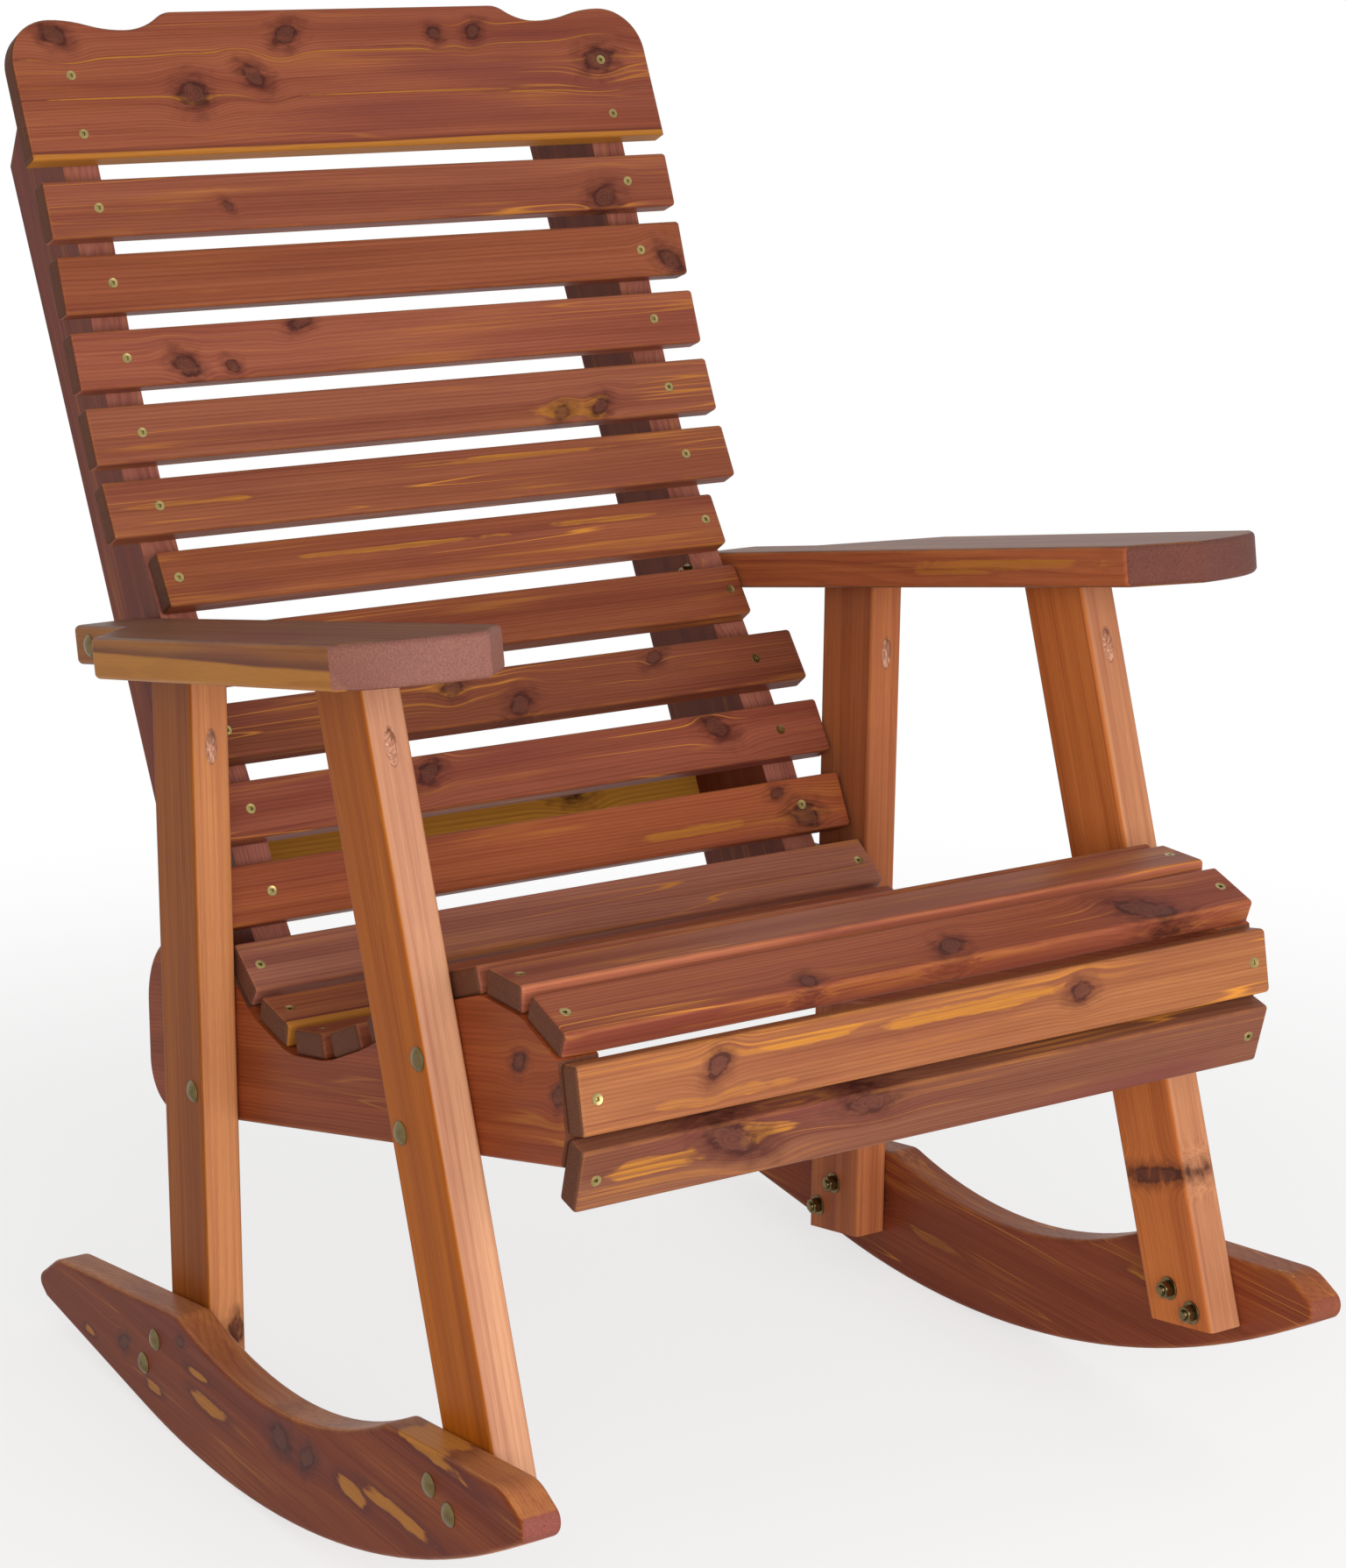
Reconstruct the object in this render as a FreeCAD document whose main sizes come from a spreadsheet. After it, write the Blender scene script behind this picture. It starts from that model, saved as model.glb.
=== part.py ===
import FreeCAD, Part
import Sketcher
import math
import os

from FreeCAD import Placement, Rotation, Vector

# Outdoor rocking chair in red cedar. Z is up, the sitter faces -Y, and the chair
# stands on the floor at Z = 0 in the attitude in which it comes to rest.
# Side view points are (y, z); the datum of the side view is the front face of the
# rear legs at floor height, and the finished chair is moved so that the origin is
# under the middle of its bounding box.

doc = FreeCAD.newDocument("rocking_chair")
sheet = doc.addObject("Spreadsheet::Sheet", "Sizes")

DIMENSIONS = [
    # boards
    ("board_thickness", 31.75),
    ("board_edge_radius", 4.5),
    ("slat_width", 48.5),
    ("slat_thickness", 20.6),
    ("slat_edge_radius", 3.5),
    ("seat_opening", 604.0),
    ("slat_side_clearance", 2.0),
    ("arm_side_clearance", 1.5),
    ("datum_to_origin", 41.0),
    # legs
    ("leg_depth", 75.0),
    ("rear_leg_foot_height", 34.5),
    ("leg_gap_along_arm", 207.6),
    ("front_leg_rake", 19.66),
    ("arm_height", 633.5),
    ("arm_rise", 10.42),
    # rockers
    ("rocker_radius", 960.0),
    ("rocker_low_point", 35.6),
    ("rocker_tail_start", 100.6),
    ("rocker_tail_end", 302.8),
    ("rocker_heel_reach", 324.1),
    ("rocker_heel_height", 39.5),
    ("rocker_heel_top_run", 278.1),
    ("rocker_heel_top_height", 71.0),
    ("rocker_rear_shoulder_run", 31.4),
    ("rocker_rear_shoulder_height", 111.0),
    ("rocker_front_shoulder_run", 321.1),
    ("rocker_front_shoulder_height", 160.2),
    ("rocker_nose_top_run", 491.9),
    ("rocker_nose_top_height", 182.7),
    ("rocker_nose_fall", 26.0),
    ("rocker_hollow_depth", 34.5),
    ("rocker_shoulder_radius", 20.0),
    ("rocker_heel_radius", 34.0),
    ("rocker_tip_radius", 9.0),
    ("rocker_nose_radius", 12.0),
    # seat
    ("seat_front_run", 419.2),
    ("seat_front_height", 481.0),
    ("apron_gap", 2.2),
    ("rail_bottom_drop", 219.0),
    ("rail_bottom_rise", 14.3),
    ("rail_rear_run", 175.0),
    ("rail_rear_top_drop", 102.0),
    ("rail_rear_top_radius", 72.0),
    ("rail_rear_bottom_radius", 36.0),
    ("seat_bolt_low_margin", 19.5),
    ("seat_bolt_high_margin", 74.5),
    ("rear_bolt_run", 18.6),
    ("rear_bolt_margin", 30.5),
    # back
    ("back_reference_run", 189.8),
    ("back_reference_rise", 181.6),
    ("back_upper_pitch", 63.0),
    ("back_lower_pitch", 68.8),
    ("crest_screw_spacing", 50.5),
    ("crest_lower_margin", 21.0),
    ("crest_height", 125.5),
    ("crest_half_width", 303.5),
    ("crest_shoulder_radius", 40.0),
    ("crest_shoulder_drop", 4.7),
    ("crest_dip_reach", 197.6),
    ("crest_dip_depth", 14.9),
    ("crest_flat_reach", 152.7),
    ("stile_rear_run", 223.6),
    ("stile_rear_drop", 4.6),
    ("stile_rear_lean", 27.3),
    ("stile_rear_corner_rise", 483.0),
    ("stile_top_margin", 30.0),
    ("stile_top_width", 30.0),
    ("stile_foot_radius", 14.0),
    ("stile_foot_clearance", 5.5),
    ("stile_foot_run", 8.0),
    ("stile_foot_rise", 52.0),
    ("stile_clearance", 3.0),
    ("brace_height", 73.0),
    ("brace_drop", 66.0),
    ("brace_screw_spacing", 36.0),
    # arms
    ("arm_outer_reach", 401.0),
    ("arm_inner_cut_run", 379.0),
    ("arm_inner_cut_width", 36.5),
    ("arm_inner_cut_depth", 48.0),
    ("arm_front_bulge", 13.0),
    ("arm_outer_cut_run", 376.5),
    ("arm_shoulder_run", 24.0),
    ("arm_taper_length", 96.0),
    ("arm_tongue_margin", 35.5),
    ("arm_corner_radius", 10.0),
    ("arm_bolt_margin", 9.054),
    # fasteners
    ("bolt_radius", 4.0),
    ("bolt_hole_clearance", 0.3),
    ("bolt_head_radius", 9.0),
    ("bolt_head_height", 4.2),
    ("washer_radius", 9.5),
    ("washer_thickness", 1.4),
    ("nut_width", 12.7),
    ("nut_height", 6.8),
    ("bolt_end_projection", 2.5),
    ("bolt_margin", 26.0),
    ("screw_radius", 1.9),
    ("screw_head_radius", 4.3),
    ("screw_grip", 22.0),
    ("screw_clearance", 0.1),
    ("pocket_radius", 4.4),
    ("rear_pocket_drop", 62.0),
    ("front_pocket_drop", 50.0),
    ("pocket_angle", 20.0),
    ("pocket_web", 22.0),
    ("pocket_screw_head_radius", 3.8),
    ("pocket_screw_head_height", 2.4),
    ("pocket_screw_grip", 20.0),
    ("cut_overrun", 5.0),
]

for row, (alias, value) in enumerate(DIMENSIONS, 1):
    sheet.set("A%d" % row, alias)
    sheet.set("B%d" % row, repr(value))
    sheet.setAlias("B%d" % row, alias)
doc.recompute()


def size(alias):
    return float(getattr(sheet, alias))


def bind(obj, prop, expression):
    obj.setExpression(prop, expression)


def polar(angle):
    """Unit vector in the side view, the angle in degrees from +y towards +z."""
    return Vector(0, math.cos(math.radians(angle)), math.sin(math.radians(angle)))


def fillet_corner(before, corner, after, radius):
    """The two tangent points and the middle point of an arc that rounds a corner."""
    u = (before - corner).normalize()
    v = (after - corner).normalize()
    half = u.getAngle(v) / 2
    reach = radius / math.tan(half)
    middle = (u + v).normalize() * (radius / math.sin(half) - radius)
    return corner + u * reach, corner + middle, corner + v * reach


def meet(p, u, q, v):
    """Where the line through p along u crosses the line through q along v."""
    d = q - p
    cross = u.y * v.z - u.z * v.y
    return p + u * ((d.y * v.z - d.z * v.y) / cross)


board = size("board_thickness")
slat = size("slat_width")
thin = size("slat_thickness")
origin_shift = Vector(0, size("datum_to_origin"), 0)

leg_inner = size("seat_opening") / 2
leg_outer = leg_inner + board
rail_inner = leg_inner - board
stile_inner = rail_inner - board
rocker_outer = leg_outer + board
SIDES = (("left", 1), ("right", -1))


def side_x(side, inner):
    """X of the lower-X face of a board whose inner face is this far from the middle."""
    return inner if side > 0 else -inner - board


# Sketch and body helpers

def new_body(name):
    body = doc.addObject("PartDesign::Body", name)
    body.Label = name
    return body


def new_sketch(body, role, name):
    sketch = body.newObject("Sketcher::SketchObject", name)
    support = next(f for f in body.Origin.OriginFeatures if f.Role == role)
    sketch.AttachmentSupport = [(support, "")]
    sketch.MapMode = "FlatFace"
    return sketch


def flat_point(role, p):
    """Sketch coordinates of a point on an origin plane."""
    if role == "YZ_Plane":
        return Vector(p.y, p.z, 0)
    return Vector(p.x, p.y, 0)


def draw(sketch, role, path):
    """Closed outline of lines and three-point arcs, joined end to end."""
    count = len(path)
    for item in path:
        points = [flat_point(role, p) for p in item]
        if len(points) == 2:
            sketch.addGeometry(Part.LineSegment(points[0], points[1]), False)
        else:
            sketch.addGeometry(Part.Arc(*points), False)
    for index in range(count):
        after = (index + 1) % count
        sketch.addConstraint(Sketcher.Constraint(
            "Coincident", index, end_of(sketch, index, path[index][-1], role),
            after, end_of(sketch, after, path[after][0], role)))


def end_of(sketch, index, point, role):
    """1 or 2: the end of a sketch edge that lies at this point."""
    flat = flat_point(role, point)
    first = sketch.getPoint(index, 1)
    second = sketch.getPoint(index, 2)
    return 1 if first.distanceToPoint(flat) <= second.distanceToPoint(flat) else 2


def rounded(points, radii):
    """Path of lines round a polygon, each corner rounded by its radius (0 for sharp)."""
    count = len(points)
    corners = []
    for index, (corner, radius) in enumerate(zip(points, radii)):
        before = points[index - 1]
        after = points[(index + 1) % count]
        if radius > 0:
            corners.append(fillet_corner(before, corner, after, radius))
        else:
            corners.append((corner,))
    path = []
    for index, corner in enumerate(corners):
        if len(corner) == 3:
            path.append(corner)
        after = corners[(index + 1) % count]
        path.append((corner[-1], after[0]))
    return path


def pad(body, sketch, length, midplane=False):
    feature = body.newObject("PartDesign::Pad", body.Label + "_pad")
    feature.Profile = sketch
    bind(feature, "Length", length)
    feature.SideType = "Symmetric" if midplane else "One side"
    sketch.Visibility = False
    return feature


def long_edges(shape, axis):
    """Names of the edges that run along the rim of a board's two broad faces."""
    names = []
    for index, edge in enumerate(shape.Edges, 1):
        box = edge.BoundBox
        if (box.XLength, box.YLength, box.ZLength)[axis] < edge.Length / 2:
            names.append("Edge%d" % index)
    return names


def rim_edges(shape, role, items):
    """Names of a board's rim edges that lie on these items of its outline."""
    names = []
    for index, edge in enumerate(shape.Edges, 1):
        ends = [flat_point(role, v.Point) for v in edge.Vertexes]
        for item in items:
            first = flat_point(role, item[0])
            second = flat_point(role, item[-1])
            if len(ends) == 2 and max(min(e.distanceToPoint(p) for e in ends)
                                      for p in (first, second)) < board / 1000:
                names.append("Edge%d" % index)
                break
    return names


def round_edges(body, feature, names, radius):
    fillet = body.newObject("PartDesign::Fillet", body.Label + "_roundover")
    fillet.Base = (feature, names)
    bind(fillet, "Radius", radius)
    return fillet


def drill(body, role, centres, radius):
    """Straight holes through the board at these points of an origin plane."""
    before = body.Tip.Shape.Volume
    start = size("bolt_radius")
    sketch = new_sketch(body, role, body.Label + "_holes")
    for centre in centres:
        circle = Part.Circle(flat_point(role, centre), Vector(0, 0, 1), start)
        index = sketch.addGeometry(circle, False)
        constraint = sketch.addConstraint(Sketcher.Constraint("Radius", index, start))
        sketch.setExpression("Constraints[%d]" % constraint, radius)
    feature = body.newObject("PartDesign::Pocket", body.Label + "_drilling")
    feature.Profile = sketch
    feature.Type = "ThroughAll"
    feature.SideType = "Symmetric"
    sketch.Visibility = False
    doc.recompute()
    if feature.Shape.Volume >= before:
        raise RuntimeError(body.Label + ": the holes cut nothing")
    return feature


def cylinder(start, end, radius, name):
    """A cylinder between two points, its radius bound to the sheet."""
    tool = doc.addObject("Part::Cylinder", name)
    bind(tool, "Radius", radius)
    axis = end - start
    tool.Height = axis.Length
    tool.Placement = Placement(start, Rotation(Vector(0, 0, 1), axis))
    return tool


def cut(name, base, tools):
    """The finished board: its body less the drillings that enter its edges."""
    group = doc.addObject("Part::MultiFuse", name + "_drillings")
    group.Shapes = tools
    result = doc.addObject("Part::Cut", name + "_drilled")
    result.Base = base
    result.Tool = group
    base.Label = name + "_blank"
    result.Label = name
    doc.recompute()
    if result.Shape.Volume >= base.Shape.Volume:
        raise RuntimeError(name + ": the drillings cut nothing")
    return result


NODES = {}


def keep(name, obj):
    obj.Label = name
    NODES[name] = obj


# Where the back slats and the crest board lie. Each entry is the middle of the
# piece's front face and its lean from the vertical in degrees.

back_leans = [22.6, 20.4, 22.4, 26.0, 30.1, 34.3, 38.0, 38.6, 33.6, 27.4]
crest_lean = 25.5
reference_slat = 5


def lean_up(lean):
    return polar(90 - lean)


def lean_front(lean):
    """Outward normal of a slat face that leans back by this angle."""
    return polar(180 - lean)


seat_level = size("seat_front_height")
back_faces = {reference_slat: Vector(0, size("back_reference_run"), seat_level + size("back_reference_rise"))}
for i in range(reference_slat - 1, -1, -1):
    mean = (back_leans[i] + back_leans[i + 1]) / 2
    back_faces[i] = back_faces[i + 1] + lean_up(mean) * size("back_upper_pitch")
for i in range(reference_slat + 1, len(back_leans)):
    mean = (back_leans[i] + back_leans[i - 1]) / 2
    back_faces[i] = back_faces[i - 1] - lean_up(mean) * size("back_lower_pitch")
mean = (back_leans[0] + crest_lean) / 2
crest_low_screw = back_faces[0] + lean_up(mean) * size("back_upper_pitch")
crest_up = lean_up(crest_lean)
crest_high_screw = crest_low_screw + crest_up * size("crest_screw_spacing")
crest_bottom = crest_low_screw - crest_up * size("crest_lower_margin")
crest_top = crest_bottom + crest_up * size("crest_height")

# Where the seat slats lie: the middle of the underside and the slope of the slat,
# positive where it rises towards the front. The list runs from the back to the front.

seat_slopes = [-35.0, -11.0, 12.0, 25.0, 31.0, 31.0, 21.0, 0.0, -18.8]
seat_pitch_shares = [1.305, 1.34, 1.36, 1.41, 1.41, 1.41, 1.13, 1.11]
level_slat = 7
apron_slopes = [-78.0, -104.0]


def slope_forward(slope):
    return polar(180 - slope)


def slope_normal(slope):
    return polar(90 - slope)


seat_bases = {level_slat: Vector(0, -size("seat_front_run"), size("seat_front_height"))}
for i in range(level_slat - 1, -1, -1):
    mean = (seat_slopes[i] + seat_slopes[i + 1]) / 2
    seat_bases[i] = seat_bases[i + 1] - slope_forward(mean) * (slat * seat_pitch_shares[i])
for i in range(level_slat + 1, len(seat_slopes)):
    mean = (seat_slopes[i] + seat_slopes[i - 1]) / 2
    seat_bases[i] = seat_bases[i - 1] + slope_forward(mean) * (slat * seat_pitch_shares[i - 1])
last = len(seat_slopes) - 1
corner = seat_bases[last] + slope_forward(seat_slopes[last]) * (slat / 2)
apron_bases = []
for slope in apron_slopes:
    corner = corner + slope_forward(slope) * size("apron_gap")
    apron_bases.append(corner + slope_forward(slope) * (slat / 2))
    corner = corner + slope_forward(slope) * slat

# Straight slats: a section padded to its length and rounded over on all its edges,
# the ends included, with a countersunk screw hole near each end. Local x is the
# length, the face is z = 0.


def countersink(body, feature, radius_value):
    rims = []
    for index, edge in enumerate(feature.Shape.Edges, 1):
        if edge.Degenerated:
            continue
        curve = edge.Curve
        if curve.TypeId == "Part::GeomCircle" and abs(curve.Radius - radius_value) < radius_value / 100:
            if abs(curve.Axis.z) > 0.99 and abs(curve.Center.z) < thin / 100:
                rims.append("Edge%d" % index)
    chamfer = body.newObject("PartDesign::Chamfer", body.Label + "_countersinks")
    chamfer.Base = (feature, rims)
    bind(chamfer, "Size", "Sizes.screw_head_radius - Sizes.screw_radius")
    return chamfer


def make_slat(name, length, screw_x, face_middle, up, front):
    body = new_body(name)
    section = new_sketch(body, "YZ_Plane", name + "_section")
    half = slat / 2
    corners = [Vector(0, -half, -thin), Vector(0, half, -thin), Vector(0, half, 0), Vector(0, -half, 0)]
    draw(section, "YZ_Plane", rounded(corners, [0] * 4))
    for a, kind in ((0, "Horizontal"), (1, "Vertical"), (2, "Horizontal"), (3, "Vertical")):
        section.addConstraint(Sketcher.Constraint(kind, a))
    width = section.addConstraint(Sketcher.Constraint("DistanceX", 0, 1, 0, 2, slat))
    depth = section.addConstraint(Sketcher.Constraint("DistanceY", 1, 1, 1, 2, thin))
    section.addConstraint(Sketcher.Constraint("Symmetric", 2, 1, 2, 2, -1, 1))
    section.setExpression("Constraints[%d]" % width, "Sizes.slat_width")
    section.setExpression("Constraints[%d]" % depth, "Sizes.slat_thickness")
    prism = pad(body, section, length, True)
    doc.recompute()
    names = ["Edge%d" % index for index in range(1, len(prism.Shape.Edges) + 1)]
    round_edges(body, prism, names, "Sizes.slat_edge_radius")
    doc.recompute()
    holes = drill(body, "XY_Plane", [Vector(-screw_x, 0, 0), Vector(screw_x, 0, 0)],
                  "Sizes.screw_radius + Sizes.screw_clearance")
    countersink(body, holes, size("screw_radius") + size("screw_clearance"))
    turn = Rotation(Vector(1, 0, 0), up, front, "XYZ")
    body.Placement = Placement(face_middle + origin_shift, turn)
    doc.recompute()
    keep(name, body)
    return [(face_middle + Vector(sign * screw_x, 0, 0), front) for sign in (-1, 1)]


stile_x = stile_inner + board / 2
rail_x = rail_inner + board / 2

# The underside of the arms, seen from the side, which slopes up towards the front.
arm_slope = -size("arm_rise")
arm_along = polar(arm_slope)
arm_normal = polar(arm_slope + 90)
arm_datum = Vector(0, 0, size("arm_height"))


def meets_arms(face_middle, up, front):
    """Whether a slat reaches the height of the arms, where it has to fit between them."""
    rises = [(face_middle + up * (side * slat / 2) - front * depth - arm_datum).dot(arm_normal)
             for side in (-1, 1) for depth in (0, thin)]
    gap = size("arm_side_clearance")
    return max(rises) > -gap and min(rises) < board + gap


full_length = "Sizes.seat_opening - 2 * Sizes.slat_side_clearance"
back_screws = []
for i, lean in enumerate(back_leans):
    length = full_length
    if meets_arms(back_faces[i], lean_up(lean), lean_front(lean)):
        length = "Sizes.seat_opening - 2 * Sizes.board_thickness - 2 * Sizes.arm_side_clearance"
    back_screws.append(make_slat("back_slat_%02d" % (i + 1), length, stile_x, back_faces[i],
                                 lean_up(lean), lean_front(lean)))

seat_screws = []
for i, slope in enumerate(seat_slopes):
    face = seat_bases[i] + slope_normal(slope) * thin
    seat_screws.append(make_slat("seat_slat_%d" % (i + 1), full_length, rail_x, face,
                                 slope_forward(slope) * -1, slope_normal(slope)))
apron_screws = []
for i, slope in enumerate(apron_slopes):
    face = apron_bases[i] + slope_normal(slope) * thin
    apron_screws.append(make_slat(("apron_slat_upper", "apron_slat_lower")[i], full_length,
                                  rail_x, face, slope_forward(slope) * -1, slope_normal(slope)))

# Crest board: shaped top edge with a raised middle, two dips and two round shoulders,
# all of tangent arcs. Each S curve is level at both ends and turns over at a share of
# its run.

dip_turn_share = 0.5
rise_turn_share = 0.7


def s_curve(p, q, turn_share):
    """Two tangent arcs, level at both ends, that lead from p to q."""
    turn = p + (q - p) * turn_share
    arcs = []
    for level, share, end in ((p, turn_share, q), (q, 1 - turn_share, p)):
        rise = end.y - level.y
        centre = level + Vector(0, share * (end - level).Length ** 2 / (2 * rise), 0)
        middle = ((level - centre) + (turn - centre)).normalize() * (level - centre).Length
        arcs.append((level, centre + middle, turn))
    return [arcs[0], tuple(reversed(arcs[1]))]


half_crest = size("crest_half_width")
round_shoulder = size("crest_shoulder_radius")
shoulder_level = size("crest_height") - size("crest_shoulder_drop")
shoulder_centre = Vector(half_crest - round_shoulder, shoulder_level - round_shoulder, 0)
diagonal = Vector(1, 1, 0).normalize()
shoulder_end = shoulder_centre + Vector(0, round_shoulder, 0)
dip = Vector(size("crest_dip_reach"), size("crest_height") - size("crest_dip_depth"), 0)
flat_end = Vector(size("crest_flat_reach"), size("crest_height"), 0)
bottom_right = Vector(half_crest, 0, 0)
side_end = Vector(half_crest, shoulder_centre.y, 0)
right = [(bottom_right, side_end), (side_end, shoulder_centre + diagonal * round_shoulder, shoulder_end)]
right += s_curve(shoulder_end, dip, dip_turn_share) + s_curve(dip, flat_end, rise_turn_share)


def mirrored(item):
    return tuple(Vector(-p.x, p.y, 0) for p in reversed(item))


crest = new_body("crest_board")
outline = new_sketch(crest, "XY_Plane", "crest_outline")
left = [mirrored(item) for item in reversed(right)]
path = right + [(right[-1][-1], left[0][0])] + left + [(left[-1][-1], bottom_right)]
draw(outline, "XY_Plane", path)
blank = pad(crest, outline, "Sizes.slat_thickness")
blank.Reversed = True
doc.recompute()
round_edges(crest, blank, long_edges(blank.Shape, 2), "Sizes.slat_edge_radius")
doc.recompute()
low = size("crest_lower_margin")
high = low + size("crest_screw_spacing")
holes = drill(crest, "XY_Plane", [Vector(s * stile_x, y, 0) for s in (-1, 1) for y in (low, high)],
              "Sizes.screw_radius + Sizes.screw_clearance")
countersink(crest, holes, size("screw_radius") + size("screw_clearance"))
crest_front = lean_front(crest_lean)
crest.Placement = Placement(crest_bottom + origin_shift,
                            Rotation(Vector(1, 0, 0), crest_up, crest_front, "XYZ"))
keep("crest_board", crest)
crest_screws = [(p + Vector(s * stile_x, 0, 0), crest_front)
                for p in (crest_low_screw, crest_high_screw) for s in (-1, 1)]

# Side boards. Each is drawn in the side view and padded to the board's thickness.


def side_board(name, path, x, holes, eased):
    """A board cut to this outline, with its rims eased along these items of it."""
    body = new_body(name)
    outline = new_sketch(body, "YZ_Plane", name + "_outline")
    draw(outline, "YZ_Plane", path)
    blank = pad(body, outline, "Sizes.board_thickness")
    doc.recompute()
    round_edges(body, blank, rim_edges(blank.Shape, "YZ_Plane", eased), "Sizes.board_edge_radius")
    doc.recompute()
    drill(body, "YZ_Plane", holes, "Sizes.bolt_radius + Sizes.bolt_hole_clearance")
    body.Placement = Placement(Vector(x, 0, 0) + origin_shift, Rotation())
    doc.recompute()
    return body


down = Vector(0, 0, -1)

# Rear leg, upright, and front leg, raked; both are cut off parallel to the arm.
rear_foot = Vector(0, 0, size("rear_leg_foot_height"))
rear_back = Vector(0, size("leg_depth"), 0)
rear_leg = [rear_foot, meet(rear_foot, arm_along, rear_back, down),
            meet(arm_datum, arm_along, rear_back, down), arm_datum]

rake = polar(90 - size("front_leg_rake"))
front_outward = polar(180 - size("front_leg_rake"))
front_back = arm_datum - arm_along * size("leg_gap_along_arm")
front_face = front_back + front_outward * size("leg_depth")
front_leg = [meet(rear_foot, arm_along, front_face, rake), meet(rear_foot, arm_along, front_back, rake),
             meet(arm_datum, arm_along, front_back, rake), meet(arm_datum, arm_along, front_face, rake)]

# Two bolts join each leg to its rocker. Their places are shares of the leg's depth from
# its front face, and of the bolt margin upwards from the front corner of its foot.
rear_bolt_shares = [(0.49, 1.55), (0.81, 0.41)]
front_bolt_shares = [(0.575, 1.39), (0.27, 0.64)]
margin = size("bolt_margin")
up = Vector(0, 0, 1)
back = Vector(0, 1, 0)
rear_bolts = [rear_foot + back * (size("leg_depth") * a) + up * (margin * b) for a, b in rear_bolt_shares]
front_bolts = [front_leg[0] - front_outward * (size("leg_depth") * a) + rake * (margin * b)
               for a, b in front_bolt_shares]

# Lower edge of the seat rail, and the bolts through leg and rail.
rail_low = Vector(0, 0, seat_level - size("rail_bottom_drop"))
rail_along = polar(180 - size("rail_bottom_rise"))
seat_bolt_shares = (0.143, 0.764)
seat_bolts = []
for share, name in zip(seat_bolt_shares, ("seat_bolt_high_margin", "seat_bolt_low_margin")):
    line = front_leg[0] - front_outward * (size("leg_depth") * share)
    seat_bolts.append(meet(line, rake, rail_low, rail_along) + rake * size(name))
rear_seat_bolt = Vector(0, size("rear_bolt_run"), 0)
rear_seat_bolt = meet(rear_seat_bolt, up, rail_low, rail_along) + up * size("rear_bolt_margin")

# Pocket screws rise from the front face of each leg through its top into the arm.
lean_in = math.radians(size("pocket_angle"))
pockets = []
for top, axis, outward, drop in ((rear_leg[3], up, back * -1, size("rear_pocket_drop")),
                                 (front_leg[3], rake, front_outward, size("front_pocket_drop"))):
    mouth = top - axis * drop
    direction = axis * math.cos(lean_in) - outward * math.sin(lean_in)
    seat = meet(mouth, direction, arm_datum, arm_along) - direction * size("pocket_web")
    pockets.append((mouth, direction, seat))


def pocket_tools(name, x, pocket, into_leg):
    """Drillings of a pocket screw: the wide pocket and the narrow hole beyond it."""
    mouth, direction, seat = pocket
    shift = Vector(x, 0, 0) + origin_shift
    end = seat + direction * (size("pocket_web") + size("pocket_screw_grip"))
    tools = [cylinder(seat - direction * size("cut_overrun") + shift, end + shift,
                      "Sizes.screw_radius + Sizes.screw_clearance", name + "_pilot")]
    if into_leg:
        outside = mouth - direction * (size("rear_pocket_drop") / 2)
        tools.append(cylinder(outside + shift, seat + shift, "Sizes.pocket_radius", name + "_pocket"))
    return tools


# Rocker: a circular running edge, a straight tail behind it that stops the chair
# from tipping back, and a top hollowed between two shoulders that carry the legs.
radius = size("rocker_radius")
low_point = -size("rocker_low_point")


def on_runner(run):
    return Vector(0, low_point + run, radius - math.sqrt(radius ** 2 - run ** 2))


def rocker_point(run, height):
    return Vector(0, low_point + run, height)


def line_arc_round(p, u, small, circle, circle_radius, reach):
    """Small arc that leaves the line through p along u, on its left, and meets a circle."""
    into = Vector(0, -u.z, u.y)
    start = p + into * small
    d = start - circle
    along = -d.dot(u)
    spread = math.sqrt(along ** 2 - d.dot(d) + reach ** 2)
    centres = [start + u * (along + spread), start + u * (along - spread)]
    middle = min(centres, key=lambda c: c.distanceToPoint(p))
    on_line = middle - into * small
    on_circle = circle + (middle - circle).normalize() * circle_radius
    outward = ((on_line - middle) + (on_circle - middle)).normalize()
    return on_line, middle + outward * small, on_circle


tail_start = on_runner(size("rocker_tail_start"))
tail_slope = size("rocker_tail_start") / math.sqrt(radius ** 2 - size("rocker_tail_start") ** 2)
tail_end = tail_start + Vector(0, 1, tail_slope) * (size("rocker_tail_end") - size("rocker_tail_start"))
heel_tip = rocker_point(size("rocker_heel_reach"), size("rocker_heel_height"))
heel_top = rocker_point(size("rocker_heel_top_run"), size("rocker_heel_top_height"))
rear_shoulder = rocker_point(size("rocker_rear_shoulder_run"), size("rocker_rear_shoulder_height"))
front_shoulder = rocker_point(-size("rocker_front_shoulder_run"), size("rocker_front_shoulder_height"))
nose_top = rocker_point(-size("rocker_nose_top_run"), size("rocker_nose_top_height"))
nose_line = polar(180 + size("rocker_nose_fall"))

chord = front_shoulder - rear_shoulder
sag = size("rocker_hollow_depth")
hollow_radius = chord.Length ** 2 / (8 * sag) + sag / 2
chord_normal = Vector(0, chord.z, -chord.y).normalize()
hollow = rear_shoulder + chord / 2 + chord_normal * (hollow_radius - sag)
rear_line = (rear_shoulder - heel_top).normalize()
front_line = (nose_top - front_shoulder).normalize()
easing = size("rocker_shoulder_radius")
rear_round = line_arc_round(rear_shoulder, rear_line, easing, hollow, hollow_radius, hollow_radius + easing)
front_round = line_arc_round(front_shoulder, front_line, easing, hollow, hollow_radius,
                             hollow_radius + easing)
hollow_low = hollow - chord_normal * hollow_radius
tip = size("rocker_nose_radius")
nose_round = line_arc_round(nose_top, nose_line, tip, Vector(0, low_point, radius), radius, radius - tip)
tail_round = fillet_corner(tail_start, tail_end, heel_tip, size("rocker_tip_radius"))
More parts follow.
